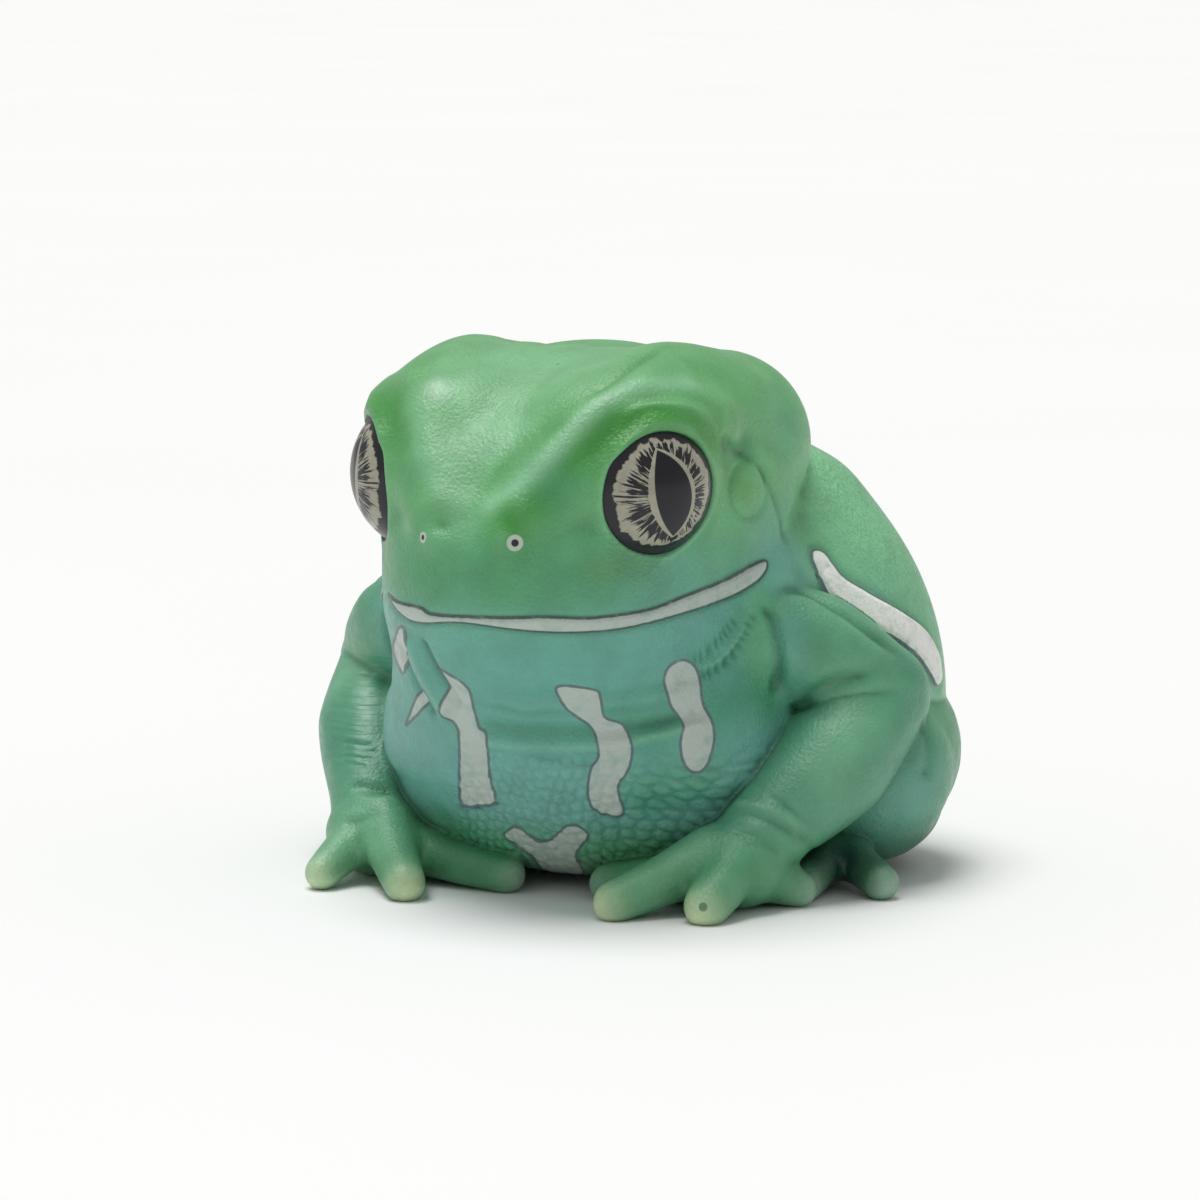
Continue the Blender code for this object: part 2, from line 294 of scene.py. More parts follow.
# One finger that is the same on both hands, and three that lie a little differently on each
FINGER = [(22.5, -18.0, 6.3, 4.2), (18.0, -24.0, 4.0, 3.1), (14.2, -28.8, 2.1, 2.7)]
LEFT_FINGERS = [
    FINGER,
    [(22.0, -17.0, 5.0, 3.6), (15.0, -18.3, 3.2, 2.8), (9.0, -19.0, 2.2, 2.6)],
    [(25.0, -17.0, 6.3, 4.2), (25.6, -22.5, 4.0, 3.2), (25.1, -26.0, 2.1, 2.9)],
    [(26.0, -15.5, 4.6, 4.0), (29.0, -13.5, 3.2, 2.9), (31.2, -11.9, 2.1, 2.4)],
]
RIGHT_FINGERS = [
    FINGER,
    [(22.0, -17.0, 5.0, 3.6), (13.0, -18.3, 3.2, 2.8), (4.9, -19.2, 2.2, 2.5)],
    [(25.0, -17.0, 6.0, 4.0), (26.2, -23.2, 3.6, 2.7), (26.6, -27.2, 2.0, 2.3)],
    [(26.0, -15.5, 4.6, 4.0), (28.0, -13.6, 3.2, 2.8), (29.4, -12.3, 2.0, 2.2)],
]

THIGH = [(16.0, 26.0, 18.0, 10.0), (27.8, 20.0, 15.4, 11.2), (31.2, 10.5, 13.6, 10.8)]
SHANK = [(32.5, 10.0, 10.0, 8.0), (30.5, 18.0, 8.8, 7.6), (25.0, 26.5, 6.4, 5.5)]
FOOT = [(25.0, 26.5, 5.0, 4.8), (26.0, 14.0, 4.0, 4.4), (28.0, 5.0, 3.8, 4.2)]
TOES = [
    [(26.0, 6.0, 3.6, 3.2), (17.0, 0.0, 2.6, 2.4), (12.0, -3.5, 2.1, 2.4)],
    [(26.5, 4.0, 3.6, 3.2), (20.0, -4.0, 2.6, 2.4), (16.0, -8.5, 2.1, 2.4)],
    [(28.0, 3.0, 3.6, 3.2), (25.5, -6.0, 2.8, 2.5), (23.5, -11.5, 2.1, 2.4)],
    [(29.5, 3.0, 3.8, 3.2), (30.6, -5.0, 3.0, 2.5), (30.6, -9.0, 2.1, 2.4)],
]
LEFT_TOE = [(30.0, 5.0, 4.0, 3.4), (35.5, -1.0, 3.0, 2.5), (38.7, -3.5, 2.0, 2.4)]
RIGHT_TOE = [(30.0, 5.0, 4.0, 3.4), (33.5, -0.5, 3.0, 2.5), (34.0, -5.0, 2.0, 2.4)]

FORM_VOXEL = 0.6
SKIN_VOXEL = 0.28
BODY_ROUNDS = 30
LIMB_ROUNDS = 8
SKIN_ROUNDS = 7


def build_body():
    forms = [ellipsoid(*form) for form in HEAD_FORMS + TRUNK_FORMS]
    forms += limb(FOREHEAD) + both_sides(limb(FOREHEAD_SIDE) + limb(BROW) + limb(LID))
    forms.append(stack(THROAT, THROAT_MIDDLE))
    bump = EYE_CENTRE - EYE_AXIS * EYE_BUMP_BACK
    forms += both_sides([ellipsoid(bump, EYE_BUMP_RADII)])
    return fused(forms, FORM_VOXEL, BODY_ROUNDS)


def build_forearm(fingers):
    forms = limb(FOREARM) + [ellipsoid(*PALM)]
    for finger in fingers:
        forms += limb(finger)
    return fused(forms, FORM_VOXEL, LIMB_ROUNDS)


def build_foot(last_toe):
    forms = limb(FOOT)
    for toe in TOES + [last_toe]:
        forms += limb(toe)
    return fused(forms, FORM_VOXEL, LIMB_ROUNDS)


def build_skin():
    """The skin round the whole figure but its eyes, and the body and the limbs that it is made of."""
    body = build_body()
    pieces = [build_forearm(LEFT_FINGERS), mirrored(build_forearm(RIGHT_FINGERS))]
    pieces += both_sides([fused(limb(form), FORM_VOXEL, LIMB_ROUNDS) for form in (ARM, THIGH, SHANK)])
    pieces += [build_foot(LEFT_TOE), mirrored(build_foot(RIGHT_TOE))]
    for mesh in pieces + [body]:
        move_points(mesh, mesh_points(mesh))
    skin = fused(pieces + [body], SKIN_VOXEL, SKIN_ROUNDS)
    move_points(skin, mesh_points(skin))
    return skin, body, joined(pieces)


# Working on the skin


LINE_STEPS = 8


def bend(a, b, c, d, steps):
    """Places on the smooth way from b to c, where a comes before them and d after them."""
    for t in np.arange(steps) / steps:
        pull = 2 * b + (c - a) * t + (2 * a - 5 * b + 4 * c - d) * t**2
        yield (pull + (3 * b - a - 3 * c + d) * t**3) / 2


def curve_through(points, steps=LINE_STEPS):
    """A smooth line through some points."""
    points = np.array(points, float)
    ends = np.concatenate([2 * points[:1] - points[1:2], points, 2 * points[-1:] - points[-2:-1]])
    line = []
    for a, b, c, d in zip(ends, ends[1:], ends[2:], ends[3:]):
        line.extend(bend(a, b, c, d, steps))
    return np.array(line + [points[-1]])


def ring_through(points):
    """A smooth closed line through some points."""
    points = np.array(points, float)
    line = []
    for index in range(len(points)):
        a, b, c, d = (points[(index + step) % len(points)] for step in (-1, 0, 1, 2))
        line.extend(bend(a, b, c, d, LINE_STEPS))
    return np.array(line)


def distance_to_line(points, line):
    """Each point's distance to a line of straight runs, and its place along the line from 0 to 1."""
    nearest = np.full(len(points), np.inf)
    along = np.zeros(len(points))
    lengths = np.linalg.norm(np.diff(line, axis=0), axis=1)
    passed = np.concatenate([[0.0], np.cumsum(lengths)])
    for index, start in enumerate(line[:-1]):
        run = line[index + 1] - start
        share = np.clip((points - start) @ run / max(run @ run, 1e-12), 0.0, 1.0)
        gap = np.linalg.norm(points - start - share[:, None] * run, axis=1)
        closer = gap < nearest
        nearest[closer] = gap[closer]
        along[closer] = (passed[index] + share * lengths[index])[closer] / passed[-1]
    return nearest, along


def smooth_step(low, high, value):
    share = np.clip((value - low) / (high - low), 0.0, 1.0)
    return share * share * (3 - 2 * share)


def tree_of(mesh):
    faces = [tuple(face.vertices) for face in mesh.polygons]
    return BVHTree.FromPolygons(mesh_points(mesh).tolist(), faces)


# In millimetres, a distance past any edge, and how softly the trunk ends at the limbs
FAR_AWAY = 9.0
TRUNK_BLEND = 0.25


class Skin:
    """The skin's points and normals in millimetres, and what is pressed into it and painted on it."""

    def __init__(self, mesh, body, limbs):
        self.mesh = mesh
        self.look_again()
        self.body = tree_of(body)
        to_body = np.array([self.body.find_nearest(point)[3] for point in self.points])
        limb_tree = tree_of(limbs)
        to_limbs = np.array([limb_tree.find_nearest(point)[3] for point in self.points])
        # 1 on the trunk and head, 0 on the limbs
        self.trunk = smooth_step(-TRUNK_BLEND, TRUNK_BLEND, to_limbs - to_body)

    def look_again(self):
        """Reads the mesh after its points have moved."""
        self.points = mesh_points(self.mesh)
        normals = np.empty(len(self.points) * 3, np.float32)
        self.mesh.vertex_normals.foreach_get("vector", normals)
        self.normals = normals.reshape(-1, 3).astype(float)
        self.pixels = to_pixels(self.points)
        folded = self.points.copy()
        folded[:, 0] = np.abs(folded[:, 0])
        self.folded = folded
        self.tree = tree_of(self.mesh)

    def at(self, pixel, tree=None):
        """The place that a pixel of the photograph shows on a tree of faces, or else on the skin."""
        place = (tree or self.tree).ray_cast(Vector(CAMERA), Vector(sight_line(pixel)))[0]
        if place is None:
            gap = np.linalg.norm(self.pixels - np.array(pixel), axis=1)
            return self.points[np.argmin(gap)].copy()
        return np.array(place)

    def is_seen(self, index):
        """Whether the camera sees a point of the skin."""
        sight = self.points[index] - CAMERA
        reach = np.linalg.norm(sight)
        return self.tree.ray_cast(Vector(CAMERA), Vector(sight / reach), reach - 0.5)[0] is None

    def line(self, pixels, fold, tree=None):
        """A smooth line on the skin through pixels, on the frog's left side if fold is true."""
        places = np.array([self.at(pixel, tree) for pixel in pixels])
        if fold:
            places[:, 0] = np.abs(places[:, 0])
        return curve_through(places)

    def near(self, line, reach, fold):
        """The points within reach of a line, with their distance and place along it."""
        points = self.folded if fold else self.points
        low, high = line.min(axis=0) - reach, line.max(axis=0) + reach
        chosen = np.nonzero(((points > low) & (points < high)).all(axis=1))[0]
        gap, along = distance_to_line(points[chosen], line)
        inside = gap < reach
        return chosen[inside], gap[inside], along[inside]

    def press(self, pixels, width, height, taper=0.15, fold=True, far=1.0, ripples=0):
        """Raises the skin along a line of pixels, or with a negative height presses it in.

        Width and height are in millimetres, and the ends fade over the share taper of the line.
        A folded line is on both sides, at the strength far on the frog's right side. Ripples cross it.
        """
        line = self.line(pixels, fold)
        chosen, gap, along = self.near(line, width * 3, fold)
        lift = height * np.exp(-((gap / width) ** 2))
        if fold:
            lift *= far + (1 - far) * smooth_step(-2.0, 2.0, self.points[chosen, 0])
        if taper:
            lift *= smooth_step(0.0, taper, along) * smooth_step(0.0, taper, 1.0 - along)
        if ripples:
            lift *= 0.7 + 0.3 * np.sin(2 * math.pi * ripples * along + 2.5 * np.sin(9.0 * along))
        self.points[chosen] += self.normals[chosen] * lift[:, None]

    def dent(self, pixel, width, height, fold=True):
        """Raises or presses in a round spot."""
        place = self.at(pixel)
        points = self.points
        if fold:
            place[0] = abs(place[0])
            points = self.folded
        gap = np.linalg.norm(points - place, axis=1)
        lift = height * np.exp(-((gap / width) ** 2))
        self.points += self.normals * lift[:, None]

    def smoothed(self, rounds):
        """The points after some rounds of moving each one towards the middle of its neighbours."""
        edges = np.empty(len(self.mesh.edges) * 2, np.int32)
        self.mesh.edges.foreach_get("vertices", edges)
        first, second = edges.reshape(-1, 2).T
        count = len(self.points)
        links = np.bincount(first, minlength=count) + np.bincount(second, minlength=count)
        smooth = self.points.copy()
        for _ in range(rounds):
            for axis in range(3):
                line = smooth[:, axis]
                total = np.bincount(first, line[second], count)
                total += np.bincount(second, line[first], count)
                smooth[:, axis] = (line + total / links) / 2
        return smooth

    def relax(self, lines, width, rounds, fold=True):
        """Smooths away what lies along some lines of pixels."""
        shift = self.smoothed(rounds) - self.points
        for pixels in lines:
            chosen, gap, _ = self.near(self.line(pixels, fold), width * 2, fold)
            self.points[chosen] += shift[chosen] * np.exp(-((gap / width) ** 2))[:, None]

    def hollows(self, rounds):
        """Each point's depth in millimetres below its smoothed surroundings. Ridges are below zero."""
        return ((self.smoothed(rounds) - self.points) * self.normals).sum(axis=1)

    def write(self):
        """Puts the moved points back into the mesh."""
        move_points(self.mesh, self.points)
        self.look_again()


# The painted rim's place on the eyeball, a little towards the ear, and its radius
RIM_SHIFT = 0.2
RIM_RADIUS = 7.35
RIM_MIDDLE = EYE_CENTRE + RIM_SHIFT * EYE_ACROSS
# How softly the skin dips at the rim, how far it stays under the eyeball, and the dish round the rim
RIM_SOFTNESS = 0.7
UNDER_EYE = 1.6
DISH_SLOPE = 0.22
DISH_WIDTHS = (1.5, 5.0)


def sink_eye_rims(skin):
    """Dips the skin under each eyeball inside its rim, with a narrow soft groove round it."""
    offset = skin.folded - RIM_MIDDLE
    depth = offset @ EYE_AXIS
    spread = np.linalg.norm(offset - depth[:, None] * EYE_AXIS, axis=1)
    ball = np.sqrt(np.maximum(EYE_RADIUS**2 - spread**2, 0.0))
    under = 1.0 - smooth_step(RIM_RADIUS - RIM_SOFTNESS, RIM_RADIUS + RIM_SOFTNESS, spread)
    shift = np.where(depth > 0.0, (ball - UNDER_EYE - depth) * under, 0.0)
    # Round the rim the skin stays under a shallow dish, so that the eyeball bulges out of it
    dish = math.sqrt(EYE_RADIUS**2 - RIM_RADIUS**2) + DISH_SLOPE * (spread - RIM_RADIUS)
    narrow, wide = DISH_WIDTHS
    around = (depth > 0.0) * smooth_step(RIM_RADIUS + wide, RIM_RADIUS + narrow, spread)
    shift = np.minimum(np.minimum(shift, 0.0), (dish - depth) * around)
    axis = np.repeat(EYE_AXIS[None, :], len(offset), axis=0)
    axis[:, 0] *= np.sign(skin.points[:, 0])
    skin.points += axis * shift[:, None]


# The valley beside the forehead, the crest of the brow ridge and the trough before the eye
VALLEY = [(669, 347), (636, 364), (608, 385), (580, 400), (560, 413), (530, 438), (500, 468)]
CREST = [
    (690, 382),
    (650, 385),
    (620, 395),
    (597, 406),
    (568, 436),
    (542, 464),
    (516, 486),
    (490, 504),
]
TROUGH = [(660, 420), (630, 424), (604, 436), (578, 457), (556, 484), (532, 506), (512, 521)]
EARDRUM = (749, 490)
EARDRUM_WIDTH = 36
EARDRUM_HEIGHT = 56


def shape_head(skin):
    # Brow ridge down to the snout, the valley over it and the broad trough before the eye
    skin.press(VALLEY, 1.8, -0.3, far=0.4)
    skin.press(VALLEY[:4], 0.5, -0.2, far=0.0)
    skin.press(CREST, 2.8, 0.55, 0.25, far=0.6)
    skin.press(TROUGH, 3.0, -1.1, 0.3, far=0.8)
    # Upper lid: a fine ridge with a groove over it
    skin.press(
        [(610, 430), (620, 421), (632, 411), (650, 406)]
        + [(669, 405), (690, 408), (708, 418), (721, 436)],
        0.6, 0.3, 0.3, far=0.2,
    )
    skin.press(
        [(618, 412), (632, 401), (650, 396), (670, 394), (694, 397), (714, 408), (727, 430)],
        1.0, -0.35, 0.3, far=0.2,
    )
    # Corner behind the eye, the fold over the eardrum and the fold that runs down behind it
    skin.press([(720, 436), (730, 447), (744, 454), (757, 464)], 0.8, -0.4)
    skin.press(
        [(744, 454), (757, 464), (768, 480), (776, 500), (783, 526), (793, 556)],
        0.8, -0.4, taper=0.25,
    )
    skin.press([(742, 452), (768, 462), (786, 486), (792, 512)], 2.2, 0.5)
    u, v = EARDRUM
    wide, high = EARDRUM_WIDTH / 2, EARDRUM_HEIGHT / 2
    ring = [(u + wide * math.cos(t), v + high * math.sin(t)) for t in np.linspace(0, 2 * math.pi, 13)]
    skin.press(ring, 0.65, -0.22, taper=0)
    skin.dent(EARDRUM, 1.8, 0.2)
    # Snout
    skin.dent((440, 527), 1.5, -0.5, fold=False)
    skin.dent((473, 545), 2.0, -0.4, fold=False)
    skin.dent((436, 389), 2.6, 0.45, fold=False)
    skin.dent((505, 541), 1.9, 0.8)
    # Nape, where the back starts behind the head
    skin.dent((836, 470), 5.0, 0.9)


# Where the upper arm meets the chest, filled so that the chest swells a little over the arm
ARMPIT = [[(760, 612), (756, 632), (756, 650), (760, 674), (771, 696)], [(774, 704), (790, 712)]]

# Crinkled folds under the corner of the jaw
CRINKLES = [
    [(690, 662), (704, 656), (716, 644), (726, 633), (741, 614)],
    [(698, 678), (711, 671), (723, 663), (735, 652), (743, 636), (753, 619), (761, 609)],
]


# Strokes that are only where they are seen: a line of pixels, a width, a height and how its ends fade
CHEST_FOLDS = [
    ([(473, 688), (492, 692), (540, 697), (600, 696), (662, 685), (720, 668)], 0.9, -0.25),
    ([(474, 703), (488, 707), (503, 710), (527, 717), (556, 715), (620, 712), (680, 700)], 0.7, -0.3),
    ([(462, 718), (500, 728), (545, 731), (600, 730), (660, 722), (720, 704)], 1.3, -0.6),
    ([(466, 738), (500, 744), (545, 747), (600, 746), (660, 736), (700, 727)], 1.1, 0.4),
    ([(630, 739), (656, 733), (684, 726), (712, 722)], 0.5, 0.3),
    ([(514, 756), (537, 760), (560, 764), (600, 766), (640, 758)], 0.8, -0.22, 0.3),
]
# The raised fold from the corner of the mouth to the chest on the far side
MOUTH_FOLD = [
    ([(404, 626), (418, 660), (434, 692), (452, 722)], 1.3, 0.7),
    ([(418, 634), (432, 664), (444, 684), (462, 712)], 0.8, -0.6),
    ([(398, 640), (409, 670), (424, 700), (438, 722)], 0.8, -0.5),
]
ELBOW_PIT = [[(372, 672), (390, 684), (402, 690)], [(386, 690), (388, 730), (386, 762)]]
RIGHT_ELBOW = ([(350, 656), (367, 670), (385, 680), (404, 688)], 1.0, -0.35, 0.3)
# Fine wrinkles round the right forearm, each a row and how far past the start column it goes
FOREARM_WRINKLES = [(742, 24), (748, 30), (755, 26), (762, 18)]
FOREARM_LEFT = 342
WRINKLE_START = 350
RIGHT_WRIST = [
    ([(345, 786), (378, 789), (404, 787)], 0.8, -0.4, 0.3),
    ([(345, 797), (378, 800), (404, 798)], 1.0, 0.3, 0.3),
    ([(340, 820), (353, 822), (369, 815), (388, 808)], 0.8, -0.3, 0.3),
]
LEFT_ARM = [
    ([(784, 716), (798, 705), (812, 694), (832, 684), (852, 678), (880, 674)], 1.2, -0.65, 0.2),
    ([(800, 712), (820, 700), (845, 690), (880, 684), (902, 692), (916, 712)], 1.4, 0.55, 0.3),
    ([(712, 808), (730, 810), (751, 814), (784, 827), (803, 840), (814, 853)], 0.8, -0.42, 0.3),
    ([(714, 800), (740, 804), (765, 811), (790, 823), (808, 838)], 0.9, 0.35, 0.3),
]
# How far each fine crease on the left wrist and hand is moved from the first one, in pixels
SLIPS = (0, 6, 12)


def shape_trunk(skin):
    for stroke in CHEST_FOLDS:
        skin.press(*stroke, fold=False)
    skin.press(CRINKLES[0], 0.9, -0.32, ripples=9)
    skin.press(CRINKLES[1], 0.9, -0.32, ripples=11)
    skin.press([(700, 668), (713, 664), (724, 656), (736, 641), (748, 620)], 0.5, 0.3)
    for stroke in MOUTH_FOLD:
        skin.press(*stroke, fold=False)


def shape_limbs(skin):
    skin.relax(ELBOW_PIT, 3.0, 60, fold=False)
    skin.press(*RIGHT_ELBOW, fold=False)
    for row, reach in FOREARM_WRINKLES:
        middle, end = (WRINKLE_START + reach / 2, row + 3), (WRINKLE_START + reach, row + 2)
        skin.press([(FOREARM_LEFT, row), middle, end], 0.4, -0.18, fold=False)
    for stroke in RIGHT_WRIST:
        skin.press(*stroke, fold=False)
    # Creases on both sides where the upper arm meets the chest and the flank
    skin.press([(763, 600), (772, 618), (777, 640), (779, 668), (776, 700)], 0.9, -0.75)
    skin.dent((787, 706), 2.2, 0.5)
    skin.press(
        [(766, 598), (782, 589), (806, 592), (838, 610), (876, 638), (914, 666)],
        0.9, -0.6, 0.3,
    )
    skin.press([(800, 612), (834, 630), (872, 655), (910, 682)], 2.2, 0.35, 0.3)
    for stroke in LEFT_ARM:
        skin.press(*stroke, fold=False)
    for slip in SLIPS:
        crease = [(764 + slip, 797 + slip / 2), (780 + slip, 800 + slip), (794 + slip, 810 + slip)]
        skin.press(crease, 0.35, -0.12, 0.3, fold=False)
        crease = [(728 + slip, 832 + slip), (748 + slip, 834 + slip), (770 + slip, 842 + slip)]
        skin.press(crease, 0.35, -0.14, 0.3, fold=False)
    # Where the thigh folds on the flank
    skin.press([(926, 712), (929, 739), (923, 783)], 1.1, -0.5)


COBBLE_WIDTH = 1.35
COBBLE_HEIGHT = 1.5
COBBLE_SPREAD = 15.0
COBBLE_DEPTHS = (0.2, 0.24)
COBBLE_TOP = 21.5
COBBLE_SIDE_TOP = 9.0
COBBLE_FADE = 5.0
COBBLE_EDGE = 0.6
COBBLE_JITTER = 0.32


def inside_cell(across, up):
    """How far each place is inside its cell of an uneven staggered pattern, and 0 on a border."""
    nearest = np.full(len(across), FAR_AWAY)
    second = nearest.copy()
    for rise in (-1, 0, 1):
        row = np.floor(up) + rise
        shift = 0.5 * (row % 2)
        for step in (-1, 0, 1):
            column = np.floor(across - shift) + step
            chance = np.sin(column * 12.9898 + row * 78.233) * 43758.5453 % 1.0
            other = np.sin(column * 39.346 + row * 11.135) * 23421.631 % 1.0
            x = column + shift + 0.5 + COBBLE_JITTER * (2 * chance - 1)
            y = row + 0.5 + COBBLE_JITTER * (2 * other - 1)
            gap = np.hypot(across - x, up - y)
            second = np.minimum(second, np.maximum(nearest, gap))
            nearest = np.minimum(nearest, gap)
    return second - nearest


def shape_cobbles(skin):
    """Low rounded cobbles on the lower belly, small in the middle and larger towards its sides."""
    x, y, z = skin.points.T
    top = COBBLE_SIDE_TOP + (COBBLE_TOP - COBBLE_SIDE_TOP) * smooth_step(-13.0, -5.0, x)
    height = smooth_step(top, top - COBBLE_FADE, z)
    front = smooth_step(-6.0, -12.0, y) * smooth_step(0.0, 0.4, -skin.normals[:, 1])
    amount = height * front * skin.trunk
    chosen = np.nonzero(amount > 0.02)[0]
    x, z = x[chosen], z[chosen]
    across = COBBLE_SPREAD / COBBLE_WIDTH * np.arcsinh(x / COBBLE_SPREAD)
    up = z / COBBLE_HEIGHT + 0.4 * np.sin(x * 0.35)
    shallow, deep = COBBLE_DEPTHS
    aside = np.abs(x - 1.0) + 0.6 * np.maximum(12.0 - z, 0.0)
    depth = shallow + (deep - shallow) * smooth_step(5.0, 15.0, aside)
    groove = smooth_step(COBBLE_EDGE, 0.0, inside_cell(across, up))
    skin.points[chosen] -= skin.normals[chosen] * (groove * depth * amount[chosen])[:, None]


STRIPE = [
    (819, 561), (826, 572), (835, 585), (847, 596), (860, 605), (874, 612), (890, 620), (908, 631),
    (923, 644), (933, 661), (937, 675),
]
# The stripe's half width by its place along it, and the notches between the knots at its upper end
STRIPE_WIDTHS = [
    (0.0, 1.5),
    (0.1, 1.5),
    (0.2, 1.8),
    (0.3, 2.1),
    (0.4, 2.0),
    (0.6, 1.9),
    (0.8, 2.1),
    (0.93, 2.0),
    (1.0, 1.4),
]
STRIPE_REACH = 4.5
STRIPE_HEIGHT = 0.5
STRIPE_NOTCHES = [[(828, 566), (817, 578)], [(848, 588), (836, 602)]]
NOTCH_REACH = 1.5
NOTCH_WIDTH = 0.4
NOTCH_BITE = 0.15


def stripe_gap(skin):
    """Each point's distance outside the flank stripe's edge, in millimetres."""
    line = skin.line(STRIPE, fold=True, tree=skin.body)
    gap = np.full(len(skin.points), FAR_AWAY)
    chosen, far, place = skin.near(line, STRIPE_REACH, fold=True)
    places, half_widths = zip(*STRIPE_WIDTHS)
    gap[chosen] = far - np.interp(place, places, half_widths)
    for notch in STRIPE_NOTCHES:
        chosen, far, _ = skin.near(skin.line(notch, fold=True, tree=skin.body), NOTCH_REACH, fold=True)
        gap[chosen] += NOTCH_BITE * np.exp(-((far / NOTCH_WIDTH) ** 2))
    return gap + FAR_AWAY * smooth_step(0.3, 0.05, skin.trunk)


def shape_stripe(skin, gap):
    lift = STRIPE_HEIGHT * smooth_step(0.2, -0.7, gap) - 0.12 * np.exp(-(((gap - 0.5) / 0.5) ** 2))
    skin.points += skin.normals * lift[:, None]
    skin.press(STRIPE_NOTCHES[0], NOTCH_WIDTH, -0.3)


# Paint

WHITE = (180, 192, 184)
BRIGHT_WHITE = (240, 242, 236)
LINE = (86, 108, 110)
LIP_LINE = (62, 88, 80)
SPECK = (60, 112, 78)


def linear(colour):
    """A colour of 0 to 255 steps as the shader's numbers."""
    share = np.array(colour, float) / 255.0
    return np.where(share <= 0.04045, share / 12.92, ((share + 0.055) / 1.055) ** 2.4)


LEAF = (100, 171, 107)
FERN = (76, 144, 102)
GRASS = (54, 138, 46)
# Pale mint, a painted highlight where light falls on the forehead, the ridges, the arms and the hands
MINT_HIGHLIGHT = (140, 196, 154)
# A whitish painted glint, a highlight spot
GLINT = (200, 222, 200)
LIME = (73, 149, 93)
TEAL = (94, 162, 146)
SKY = (104, 166, 156)
SEA = (90, 163, 119)
# Deep green: the trunk's colour at the floor, and painted shade in creases and hollows among the
# patches
DEEP = (52, 122, 94)
# Jade green, painted shade in the shadowed folds and hollows of the throat and belly
JADE_SHADE = (62, 146, 108)
# Dark green, painted shade on the low parts of the limbs
FOOT_SHADE = (32, 88, 66)
# Near-black green, a painted shadow
DEEP_SHADOW = (12, 50, 38)
INK = (52, 80, 84)
OLIVE = (98, 150, 82)
BACK_GREEN = (126, 192, 144)
PALE_TIP = (220, 228, 182)
PALE_TOE = (150, 172, 156)
# The trunk's and head's colours by height, from the floor up
TRUNK_COLOURS = [
    (0.0, DEEP),
    (6.0, SEA),
    (11.0, SKY),
    (18.0, SKY),
    (26.0, TEAL),
    (36.0, TEAL),
    (44.0, SEA),
    (51.0, LEAF),
    (69.0, LEAF),
]
